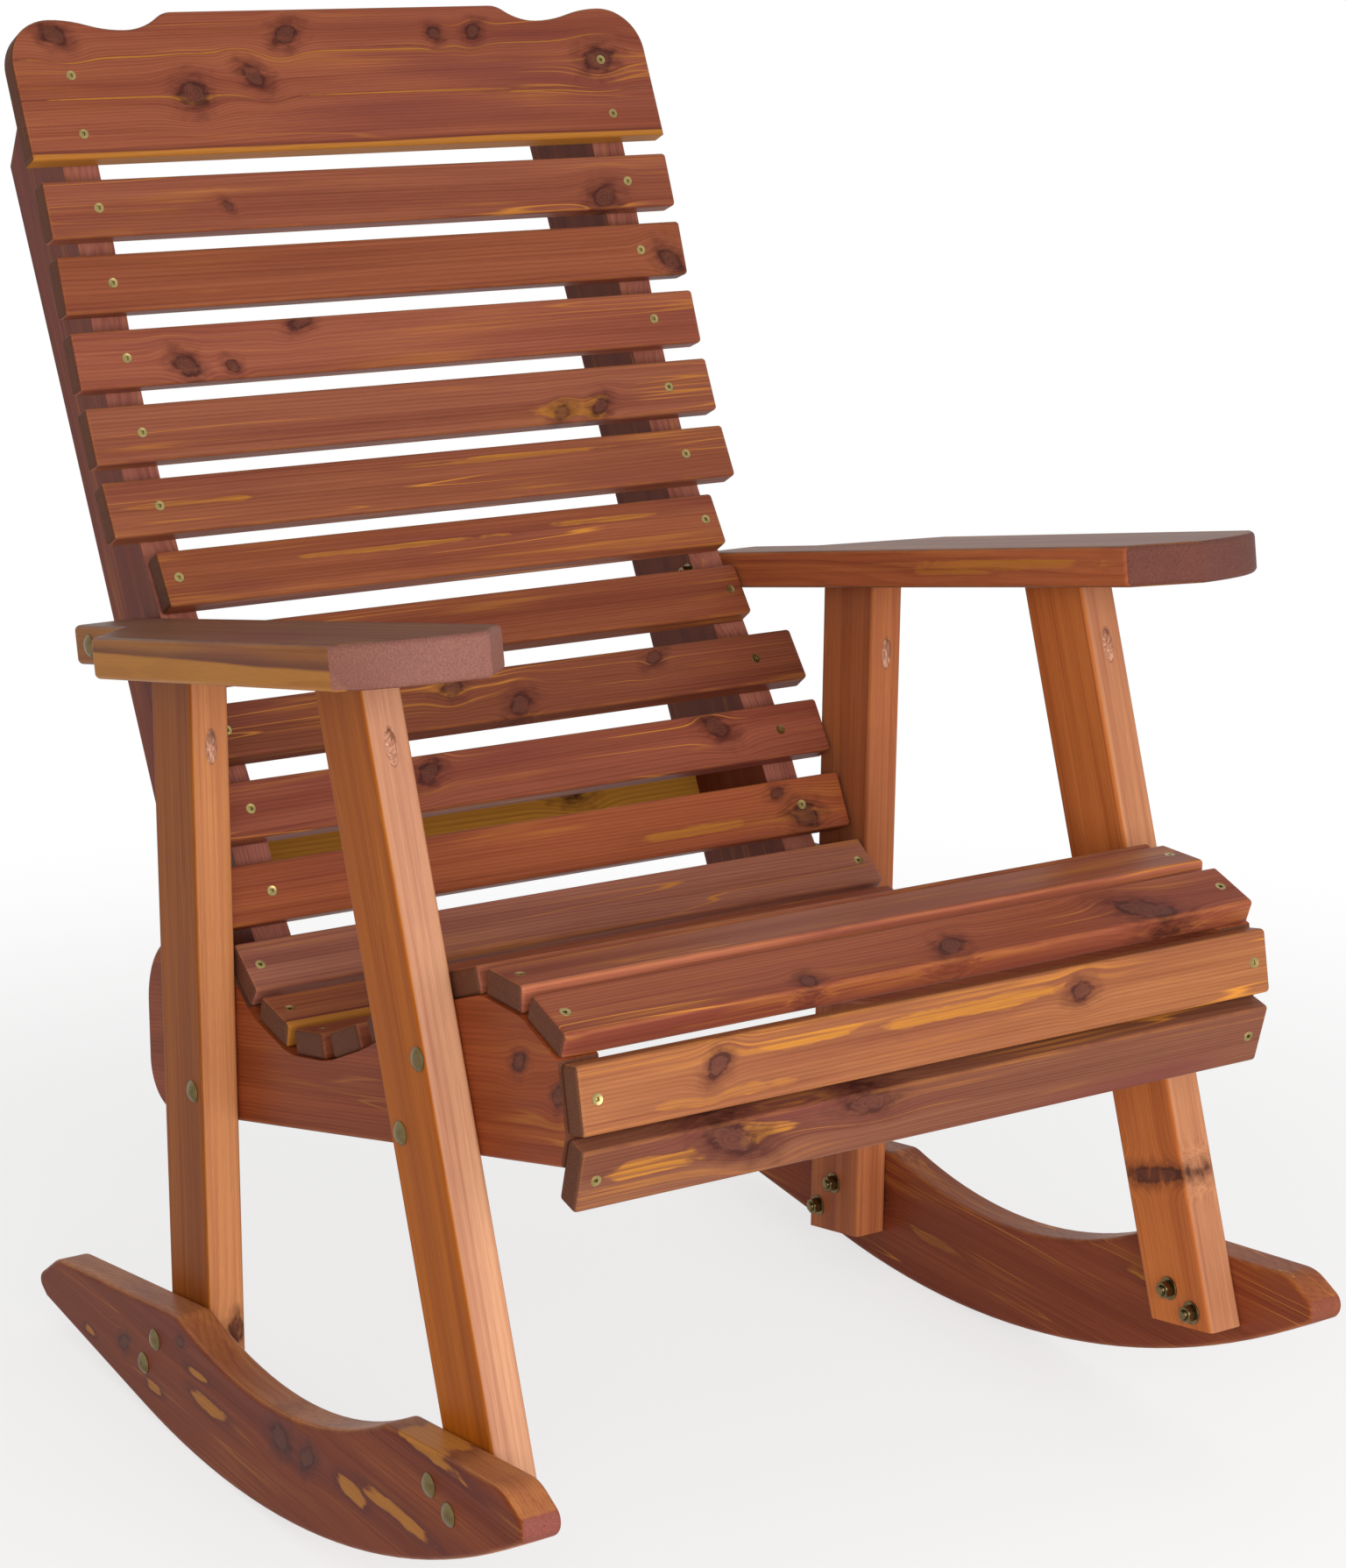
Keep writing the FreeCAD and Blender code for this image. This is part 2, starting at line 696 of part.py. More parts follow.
tip_round = fillet_corner(tail_end, heel_tip, heel_top, size("rocker_tip_radius"))
heel_round = fillet_corner(heel_tip, heel_top, rear_shoulder, size("rocker_heel_radius"))
nose_top_round = fillet_corner(front_shoulder, nose_top, nose_top + nose_line, size("rocker_heel_radius"))
runner_middle = on_runner((size("rocker_tail_start") + nose_round[2].y - low_point) / 2)
rocker_path = [
    (nose_round[2], runner_middle, tail_start), (tail_start, tail_round[0]), tail_round,
    (tail_round[2], tip_round[0]), tip_round, (tip_round[2], heel_round[0]), heel_round,
    (heel_round[2], rear_round[0]), rear_round, (rear_round[2], hollow_low, front_round[2]),
    tuple(reversed(front_round)), (front_round[0], nose_top_round[0]), nose_top_round,
    (nose_top_round[2], nose_round[0]), nose_round,
]
for side, sign in SIDES:
    name = "rocker_" + side
    keep(name, side_board(name, rocker_path, side_x(sign, leg_outer), rear_bolts + front_bolts, rocker_path))

# Legs
for side, sign in SIDES:
    x = side_x(sign, leg_inner)
    middle = x + board / 2
    for kind, outline, bolts, pocket in (("rear", rear_leg, rear_bolts + [rear_seat_bolt], pockets[0]),
                                         ("front", front_leg, front_bolts + seat_bolts, pockets[1])):
        name = "%s_leg_%s" % (kind, side)
        outline_path = rounded(outline, [0] * 4)
        blank = side_board(name, outline_path, x, bolts, outline_path[1::2])
        keep(name, cut(name, blank, pocket_tools(name, middle, pocket, True)))

# Seat rails: the upper edge has a flat for every slat, so that each one seats.
rail_path_points = []
bearing = [(apron_bases[1], apron_slopes[1]), (apron_bases[0], apron_slopes[0])]
bearing += [(seat_bases[i], seat_slopes[i]) for i in range(last, -1, -1)]
for base, slope in bearing:
    along = slope_forward(slope) * (slat / 2)
    rail_path_points += [base + along, base - along]
low_flat = rail_path_points[0]
rail_path_points[0] = meet(low_flat, slope_forward(apron_slopes[1]), rail_low, rail_along)
rail_end = Vector(0, size("rail_rear_run"), seat_level - size("rail_rear_top_drop"))
rail_path_points += [rail_end, meet(rail_end, up, rail_low, rail_along)]
rail_radii = [0] * (len(rail_path_points) - 2)
rail_radii += [size("rail_rear_top_radius"), size("rail_rear_bottom_radius")]
rail_path = rounded(rail_path_points, rail_radii)


def pilots(name, screws, side_sign):
    """Holes for slat screws in the edge of the board that they enter."""
    tools = []
    for index, (point, front) in enumerate(screws):
        if point.x * side_sign > 0:
            start = point - front * (thin - size("cut_overrun")) + origin_shift
            end = point - front * (thin + size("screw_grip")) + origin_shift
            tools.append(cylinder(start, end, "Sizes.screw_radius + Sizes.screw_clearance",
                                  "%s_pilot_%d" % (name, index)))
    return tools


all_seat_screws = [s for pair in seat_screws + apron_screws for s in pair]
for side, sign in SIDES:
    name = "seat_rail_" + side
    blank = side_board(name, rail_path, side_x(sign, rail_inner), seat_bolts + [rear_seat_bolt],
                       rail_path[-5:])
    keep(name, cut(name, blank, pilots(name, all_seat_screws, sign)))

# Back stiles: front edge with a flat for every slat, straight rear edge, tapered top,
# and a foot between the rail and the seat slats.
stile_front = []
for i in range(len(back_leans) - 1, -1, -1):
    middle = back_faces[i] - lean_front(back_leans[i]) * thin
    along = lean_up(back_leans[i]) * (slat / 2)
    stile_front += [middle - along, middle + along]

# The arm is bolted to the stile a margin behind the place where the stile's front edge
# crosses the middle of the arm's thickness.
arm_middle = arm_datum + arm_normal * (board / 2)
offsets = [(p - arm_middle).dot(arm_normal) for p in stile_front]
below = max(i for i, offset in enumerate(offsets) if offset <= 0)
edge_run = (stile_front[below + 1] - stile_front[below]).normalize()
arm_bolt = meet(stile_front[below], edge_run, arm_middle, arm_along) + arm_along * size("arm_bolt_margin")
arm_tongue_end = (arm_bolt - arm_datum).dot(arm_along) + size("arm_tongue_margin")

crest_back = crest_bottom - crest_front * thin
stile_top = crest_back + crest_up * (size("crest_height") - size("stile_top_margin"))
stile_front += [crest_back, stile_top]
rear_line_point = Vector(0, size("stile_rear_run"), seat_level - size("stile_rear_drop"))
rear_up = polar(90 - size("stile_rear_lean"))
corner_height = Vector(0, 0, seat_level + size("stile_rear_corner_rise"))
rear_corner = meet(rear_line_point, rear_up, corner_height, back)
foot_line = rail_low + polar(90 - size("rail_bottom_rise")) * size("stile_foot_clearance")
foot_front = meet(Vector(0, -size("stile_foot_run"), 0), up, foot_line, rail_along)
foot_rear = meet(rear_line_point, rear_up, foot_line, rail_along)
seat_corner = seat_bases[0] - slope_forward(seat_slopes[0]) * (slat / 2)
passing = seat_corner - slope_forward(seat_slopes[0]) * size("stile_clearance")
passing = passing - slope_normal(seat_slopes[0]) * size("stile_clearance")
stile_points = [foot_rear, foot_front, foot_front + up * size("stile_foot_rise"), passing]
stile_points += stile_front + [stile_top - crest_front * size("stile_top_width"), rear_corner]
stile_radii = [size("stile_foot_radius")] * 2 + [0] * (len(stile_points) - 2)
stile_path = rounded(stile_points, stile_radii)

# Brace between the stiles, flush with their rear edges.
brace_middle = rear_line_point - rear_up * size("brace_drop")
brace_normal = polar(180 - size("stile_rear_lean"))
brace = new_body("back_brace")
section = new_sketch(brace, "YZ_Plane", "brace_section")
half = size("brace_height") / 2
draw(section, "YZ_Plane", rounded([Vector(0, -half, 0), Vector(0, half, 0), Vector(0, half, thin),
                                   Vector(0, -half, thin)], [0] * 4))
pad(brace, section, "Sizes.seat_opening - 4 * Sizes.board_thickness", True)
doc.recompute()
brace.Placement = Placement(brace_middle + origin_shift,
                            Rotation(Vector(1, 0, 0), rear_up, brace_normal, "XYZ"))
brace_screw_points = [brace_middle + rear_up * (s * size("brace_screw_spacing") / 2) +
                      brace_normal * (thin / 2) for s in (-1, 1)]
brace_screws = []
for side, sign in SIDES:
    for point in brace_screw_points:
        brace_screws.append((point + Vector(sign * rail_inner, 0, 0), Vector(sign, 0, 0)))


def side_screw_tools(name, screws, x_sign, head):
    tools = []
    for index, (point, front) in enumerate(screws):
        if front.x * x_sign > 0:
            start = point + origin_shift
            reach = board + size("screw_grip")
            tools.append(cylinder(start + front * size("cut_overrun"), start - front * reach,
                                  "Sizes.screw_radius + Sizes.screw_clearance",
                                  "%s_side_pilot_%d" % (name, index)))
            if head:
                cone = doc.addObject("Part::Cone", "%s_side_seat_%d" % (name, index))
                bind(cone, "Radius1", "Sizes.screw_radius + Sizes.screw_clearance")
                bind(cone, "Radius2", "Sizes.screw_head_radius + Sizes.screw_clearance")
                bind(cone, "Height", "Sizes.screw_head_radius - Sizes.screw_radius")
                drop = size("screw_head_radius") - size("screw_radius")
                cone.Placement = Placement(start - front * drop, Rotation(Vector(0, 0, 1), front))
                tools.append(cone)
    return tools


keep("back_brace", cut("back_brace", brace, side_screw_tools("back_brace", brace_screws, 1, False) +
                       side_screw_tools("back_brace_far", brace_screws, -1, False)))

all_back_screws = [s for pair in back_screws for s in pair] + crest_screws
for side, sign in SIDES:
    name = "back_stile_" + side
    tools = pilots(name, all_back_screws, sign) + side_screw_tools(name, brace_screws, sign, True)
    blank = side_board(name, stile_path, side_x(sign, stile_inner), [rear_seat_bolt, arm_bolt],
                       [stile_path[-1]])
    keep(name, cut(name, blank, tools))

# Arms: plan outline in the arm's own frame, x outwards and y to the rear from the
# front face of the rear leg.


def make_arm(name, sign):
    run = size("arm_inner_cut_run")
    points = [
        (size("arm_outer_reach"), -size("arm_outer_cut_run"), 0),
        (size("arm_outer_reach"), size("arm_shoulder_run"), size("arm_corner_radius")),
        (leg_outer, size("arm_shoulder_run") + size("arm_taper_length"), size("arm_corner_radius")),
        (leg_outer, arm_tongue_end, size("arm_corner_radius")),
        (rail_inner, arm_tongue_end, size("arm_corner_radius")),
        (rail_inner, -run, size("arm_corner_radius")),
        (rail_inner + size("arm_inner_cut_width"), -run - size("arm_inner_cut_depth"), 0),
    ]
    corners = [Vector(sign * x, y, 0) for x, y, r in points]
    body = new_body(name)
    outline = new_sketch(body, "XY_Plane", name + "_outline")
    path = rounded(corners, [r for x, y, r in points])
    inner, outer = path[-1]
    bulge = (outer - inner).cross(Vector(0, 0, sign)).normalize() * size("arm_front_bulge")
    path[-1] = (inner, (inner + outer) / 2 + bulge, outer)
    draw(outline, "XY_Plane", path)
    blank = pad(body, outline, "Sizes.board_thickness")
    doc.recompute()
    round_edges(body, blank, long_edges(blank.Shape, 2), "Sizes.board_edge_radius")
    turn = Rotation(Vector(1, 0, 0), arm_along, arm_normal, "XYZ")
    body.Placement = Placement(arm_datum + origin_shift, turn)
    doc.recompute()
    middle = sign * (leg_inner + board / 2)
    tools = []
    for index, pocket in enumerate(pockets):
        tools += pocket_tools("%s_%d" % (name, index), middle, pocket, False)
    start = arm_bolt + Vector(sign * (leg_outer + size("cut_overrun")), 0, 0) + origin_shift
    end = arm_bolt + Vector(sign * (rail_inner - size("cut_overrun")), 0, 0) + origin_shift
    tools.append(cylinder(start, end, "Sizes.bolt_radius + Sizes.bolt_hole_clearance", name + "_bolt_hole"))
    keep(name, cut(name, body, tools))


for side, sign in SIDES:
    make_arm("armrest_" + side, sign)

# Fasteners. Each kind is revolved or extruded once and then placed as a group.


def revolve(profile):
    points = [Vector(x, 0, z) for x, z in profile]
    wire = Part.makePolygon(points + [points[0]])
    return Part.Face(wire).revolve(Vector(0, 0, 0), Vector(0, 0, 1), 360)


def place_group(name, unit, places):
    """One node of separate equal solids, each moved by its own placement."""
    solids = []
    for point, axis in places:
        solid = unit.copy()
        solid.Placement = Placement(point + origin_shift, Rotation(Vector(0, 0, 1), axis))
        solids.append(solid)
    group = doc.addObject("Part::Feature", name)
    group.Shape = Part.makeCompound(solids)
    group.Placement = Placement()
    keep(name, group)


def screw_unit(length):
    shank = size("screw_radius")
    head = size("screw_head_radius")
    return revolve([(0, 0), (head, 0), (shank, shank - head), (shank, -length), (0, -length)])


slat_screw = screw_unit(thin + size("screw_grip"))
place_group("back_slat_screws", slat_screw, [s for pair in back_screws for s in pair])
place_group("seat_slat_screws", slat_screw, [s for pair in seat_screws for s in pair])
place_group("apron_slat_screws", slat_screw, [s for pair in apron_screws for s in pair])
place_group("crest_board_screws", slat_screw, crest_screws)
place_group("back_brace_screws", screw_unit(board + size("screw_grip")), brace_screws)

head = size("pocket_screw_head_radius")
shank = size("screw_radius")
web_length = size("pocket_web") + size("pocket_screw_grip")
pocket_screw = revolve([(0, -size("pocket_screw_head_height")), (head, -size("pocket_screw_head_height")),
                        (head, 0), (shank, 0), (shank, web_length), (0, web_length)])
places = []
for side, sign in SIDES:
    for mouth, direction, seat in pockets:
        places.append((seat + Vector(sign * (leg_inner + board / 2), 0, 0), direction))
place_group("armrest_screws", pocket_screw, places)


def bolt_unit(grip):
    """Carriage bolt: domed head above z = 0, shank below it, long enough for its nut."""
    dome = size("bolt_head_radius")
    rise = size("bolt_head_height")
    stem = size("bolt_radius")
    length = grip + size("washer_thickness") + size("nut_height") + size("bolt_end_projection")
    sphere = (dome ** 2 + rise ** 2) / (2 * rise)
    arc = math.asin(dome / sphere) / 2
    mid = Vector(sphere * math.sin(arc), 0, rise - sphere + sphere * math.cos(arc))
    edges = [
        Part.Arc(Vector(0, 0, rise), mid, Vector(dome, 0, 0)).toShape(),
        Part.makeLine(Vector(dome, 0, 0), Vector(stem, 0, 0)),
        Part.makeLine(Vector(stem, 0, 0), Vector(stem, 0, -length)),
        Part.makeLine(Vector(stem, 0, -length), Vector(0, 0, -length)),
        Part.makeLine(Vector(0, 0, -length), Vector(0, 0, rise)),
    ]
    return Part.Face(Part.Wire(edges)).revolve(Vector(0, 0, 0), Vector(0, 0, 1), 360)


bore = size("bolt_radius") + size("bolt_hole_clearance")
washer = revolve([(bore, 0), (size("washer_radius"), 0), (size("washer_radius"), size("washer_thickness")),
                  (bore, size("washer_thickness"))])
flat = size("nut_width") / math.sqrt(3)
hexagon = [Vector(flat * math.cos(k * math.pi / 3), flat * math.sin(k * math.pi / 3), 0) for k in range(7)]
nut = Part.Face(Part.makePolygon(hexagon)).extrude(Vector(0, 0, size("nut_height")))
nut = nut.cut(Part.makeCylinder(size("bolt_radius"), size("nut_height")))


def bolt_set(name, points, head_x, grip):
    """Bolts, washers and nuts through boards from head_x inwards over this grip."""
    heads = []
    washers = []
    nuts = []
    for side, sign in SIDES:
        axis = Vector(sign, 0, 0)
        for p in points:
            heads.append((p + axis * head_x, axis))
            washers.append((p + axis * (head_x - grip), axis * -1))
            nuts.append((p + axis * (head_x - grip - size("washer_thickness")), axis * -1))
    return heads, washers, nuts


rocker_set = bolt_set("rocker", rear_bolts + front_bolts, rocker_outer, 2 * board)
seat_set = bolt_set("seat", seat_bolts, leg_outer, 2 * board)
back_set = bolt_set("back", [rear_seat_bolt, arm_bolt], leg_outer, 3 * board)
place_group("rocker_bolts", bolt_unit(2 * board), rocker_set[0])
place_group("rocker_bolt_washers", washer, rocker_set[1])
place_group("rocker_bolt_nuts", nut, rocker_set[2])
place_group("seat_rail_bolts", bolt_unit(2 * board), seat_set[0])
place_group("seat_rail_bolt_washers", washer, seat_set[1])
place_group("seat_rail_bolt_nuts", nut, seat_set[2])
place_group("back_stile_bolts", bolt_unit(3 * board), back_set[0])
place_group("back_stile_bolt_washers", washer, back_set[1])
place_group("back_stile_bolt_nuts", nut, back_set[2])

doc.recompute()
for obj in doc.Objects:
    if "Invalid" in obj.State or "Error" in obj.State:
        raise RuntimeError("failed: " + obj.Label)
os.makedirs("parts", exist_ok=True)
for name, obj in NODES.items():
    shape = obj.Shape
    if shape.isNull() or not shape.isValid():
        raise RuntimeError("bad shape: " + name)
for name, obj in NODES.items():
    obj.Shape.exportStep("parts/%s.step" % name)
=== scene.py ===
"""Looks of the outdoor rocking chair: cedar boards, plated screws and bolts, stage and camera."""

import math
from typing import NamedTuple

import bpy
import numpy as np
from mathutils import Matrix, Vector


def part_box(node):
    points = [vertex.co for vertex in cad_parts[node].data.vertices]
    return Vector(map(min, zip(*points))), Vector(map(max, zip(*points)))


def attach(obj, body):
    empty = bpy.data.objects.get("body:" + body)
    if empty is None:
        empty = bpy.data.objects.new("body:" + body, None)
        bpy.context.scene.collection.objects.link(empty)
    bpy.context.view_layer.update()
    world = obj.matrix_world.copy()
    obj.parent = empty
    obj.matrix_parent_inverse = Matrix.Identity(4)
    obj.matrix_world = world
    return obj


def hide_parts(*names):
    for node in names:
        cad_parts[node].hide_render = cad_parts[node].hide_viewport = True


bl_info = {
    "name": "Outdoor rocking chair",
    "version": (1, 0, 0),
    "blender": (4, 5, 0),
    "location": "View3D > Sidebar > Rocking Chair",
    "description": "Cedar figure, plated fasteners and a pale stage for a slatted rocking chair",
    "category": "Object",
}

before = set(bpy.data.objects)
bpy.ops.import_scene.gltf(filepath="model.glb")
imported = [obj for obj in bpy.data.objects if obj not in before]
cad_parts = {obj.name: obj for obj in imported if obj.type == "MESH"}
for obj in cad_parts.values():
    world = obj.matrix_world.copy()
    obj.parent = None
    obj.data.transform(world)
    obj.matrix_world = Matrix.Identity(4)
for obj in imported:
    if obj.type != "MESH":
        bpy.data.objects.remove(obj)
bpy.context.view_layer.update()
MM = 0.001


def display_colour(red, green, blue):
    """Linear colour of a display colour given in 0 to 255: the display curve run backwards."""
    share = np.array([red, green, blue], float) / 255.0
    low = share / 12.92
    high = ((share + 0.055) / 1.055) ** 2.4
    return tuple(float(value) for value in np.where(share <= 0.04045, low, high))


# The tone against which the dark heartwood and latewood of the settings are read as shares.
BOARD_BASE = display_colour(196, 108, 72)

# ---- settings


def colour_property(name, description, rgb):
    """A colour setting whose default is a display colour."""
    return bpy.props.FloatVectorProperty(
        name=name, description=description, default=display_colour(*rgb),
        subtype="COLOR", size=3, min=0.0, max=1.0,
    )


def length_property(name, description, millimetres):
    """A length setting in metres whose default is given in millimetres."""
    return bpy.props.FloatProperty(
        name=name, description=description, default=millimetres * MM,
        subtype="DISTANCE", unit="LENGTH", min=0.0,
    )


def share_property(name, description, default, top=1.0):
    """A plain number from 0 to its top."""
    return bpy.props.FloatProperty(
        name=name, description=description, default=default, min=0.0, max=top
    )


class CedarColours(bpy.types.PropertyGroup):
    """Colours that all the boards share beside their own tone"""

    latewood: colour_property("Latewood", "Dark line that closes each year's ring", (118, 46, 34))
    dark_heart: colour_property("Dark heartwood", "Broad darker bands", (146, 66, 44))
    flush: colour_property("Purple flush", "Purple patches in the heartwood", (106, 48, 50))
    gold: colour_property("Gold streak", "Thin golden lines along the grain", (200, 130, 54))
    sapwood: colour_property("Sapwood", "Pale wood from under the bark", (182, 120, 46))
    outline: colour_property(
        "Sapwood border", "Dark line between sapwood and heartwood", (74, 30, 30)
    )
    knot: colour_property("Knot", "Heart of a knot", (98, 58, 46))
    knot_rim: colour_property("Knot rim", "Rings of a knot and the wood round it", (74, 34, 30))
    end_grain: colour_property("End grain", "Sawn ends of the boards", (98, 61, 45))
    raw_wood: colour_property("Raw wood", "Unfinished wood in the screw pockets", (232, 176, 146))
    # The pocket rim colour is partly torn wood and partly painted shade at the pockets' edge and
    # inside them.
    pocket_rim: colour_property("Pocket rim", "Edge of the screw pockets", (118, 66, 44))


class CedarFinish(bpy.types.PropertyGroup):
    """Clear finish and relief of the wood"""

    roughness: share_property("Roughness", "Roughness of the finished face", 0.42)
    sheen_level: share_property("Reflection", "Level of the bare wood's reflection", 0.06)
    coat: share_property("Clear coat", "Weight of the clear finish", 0.03)
    coat_roughness: share_property("Coat roughness", "Roughness of the clear finish", 0.25)
    relief: length_property("Grain relief", "Depth of fibres and rings", 0.35)
    relief_strength: share_property("Relief strength", "How strongly the relief shades", 0.35)
    # Edges are paler by this much: partly wear, partly painted sheen of the light the roundovers
    # catch.
    edge_wear: share_property("Edge wear", "How much paler the rubbed edges are", 0.30)


class FastenerSizes(bpy.types.PropertyGroup):
    """Details of the screws, bolts, washers and nuts"""

    recess_across: length_property("Square recess", "Width of the drive recess", 2.9)
    recess_depth: length_property("Recess depth", "Depth of the drive recess", 1.9)
    head_lip: length_property("Head lip", "Height of the rim round a countersunk head", 0.25)
    screw_pitch: length_property("Screw pitch", "Distance between a screw's threads", 2.6)
    screw_thread: length_property("Screw thread height", "Height of a screw's thread", 0.6)
    bolt_pitch: length_property("Bolt pitch", "Distance between a bolt's threads", 1.4)
    bolt_thread: length_property("Bolt thread height", "Height of a bolt's thread", 0.35)
    bolt_threaded: length_property("Bolt threaded length", "Threaded length of a bolt", 22.0)
    head_edge: length_property("Dome edge", "Straight edge under a bolt's dome", 0.5)
    easing: length_property("Eased edge", "Rounding of washers", 0.25)


class FastenerColours(bpy.types.PropertyGroup):
    """Plating of the fasteners"""

    screw_plating: colour_property("Screw plating", "Yellow zinc of the screws", (168, 150, 98))
    bolt_plating: colour_property("Bolt plating", "Yellow zinc of the bolts", (120, 104, 70))
    tarnish: colour_property("Tarnish", "Darker spots of the plating", (76, 60, 38))


class StageSettings(bpy.types.PropertyGroup):
    """Floor, lamps and surroundings"""

    floor: colour_property("Floor", "Colour of the floor", (244, 243, 241))
    floor_half: length_property(
        "Floor reach", "Distance from the chair to the floor's edge", 30000.0
    )
    shadow_share: share_property(
        "Shadow", "How much of the chair's shadow the floor shows", 0.30
    )
    sky: share_property("Sky", "Strength of the soft light from all round", 0.55, 4.0)
    key: bpy.props.FloatProperty(
        name="Key lamp", description="Power of the soft box in front of the chair",
        default=50.0, min=0.0, unit="POWER",
    )
    key_width: length_property("Key width", "Width of the soft box", 2600.0)
    key_height: length_property("Key height", "Height of the soft box", 1200.0)
    key_place: bpy.props.FloatVectorProperty(
        name="Key place", description="Middle of the soft box",
        default=(-0.45, -2.30, 1.00), subtype="TRANSLATION",
    )


SETTINGS = {
    "chair_cedar": CedarColours,
    "chair_finish": CedarFinish,
    "chair_fasteners": FastenerSizes,
    "chair_plating": FastenerColours,
    "chair_stage": StageSettings,
}


def settings(name):
    """One of the setting groups of this scene."""
    return getattr(bpy.context.scene, name)


# ---- boards

UPRIGHT = 90.0
CREST_LEAN = 25.5
BRACE_LEAN = 27.3
APRON_SLOPES = (-78.0, -104.0)
ARM_DROP = -10.42
FRONT_LEG_RISE = 70.34
RAIL_RISE = 165.7
STILE_RISE = 62.7


class Board(NamedTuple):
    """How one board was sawn. Lengths are in millimetres from the middle of the board's box.

    run is "side" for a board from side to side, "up" for one in a side frame and "arm" for an
    arm. angle, in degrees, is how far the face of the first leans back and how far the grain of
    the others rises to the rear. x runs along the grain, y across the face and z through the
    thickness. knots and flames are (x, y, half width, times as long); edge_knots and
    edge_flames are (x, z, half width, times as long) on a narrow face. sapwood is (share of x,
    of y and of z, distance) of the plane beyond which the wood is pale, and wander is how far
    its border strays. The edge tone is the colour of the narrow faces and end_tone that of the
    ends, where they differ from tone. On the legs, stiles and rockers the paler edge tone is
    partly painted sheen of the lamp on faces turned to it, and the darker tone partly painted
    shade on faces turned away. A face counts as an end where it looks along the grain by more
    than sawn_from. gold, flush and lines tell how strongly the golden streaks, the purple
    flushes and the rings show, and streaky how much flames break up. ring is the width of a
    year's ring, and pith is the pith's place in y and z and its tilt.
    """

    run: str
    angle: float
    tone: tuple = (156, 91, 66)
    edge_tone: tuple = ()
    end_tone: tuple = ()
    knots: tuple = ()
    flames: tuple = ()
    edge_knots: tuple = ()
    edge_flames: tuple = ()
    sapwood: tuple = (0.0, 0.0, 0.0, 1000.0)
    wander: float = 16.0
    sawn_from: float = 0.60
    gold: float = 0.45
    flush: float = 0.55
    lines: float = 0.38
    streaky: float = 0.75
    ring: float = 2.8
    pith: tuple = (74, -22, 0.010)


def slats(names, start, rows):
    """Boards from side to side that are named by number, from rows of lean or slope and figure."""
    return {
        names.format(number): Board("side", start - lean, **figure)
        for number, (lean, figure) in enumerate(rows, 1)
    }
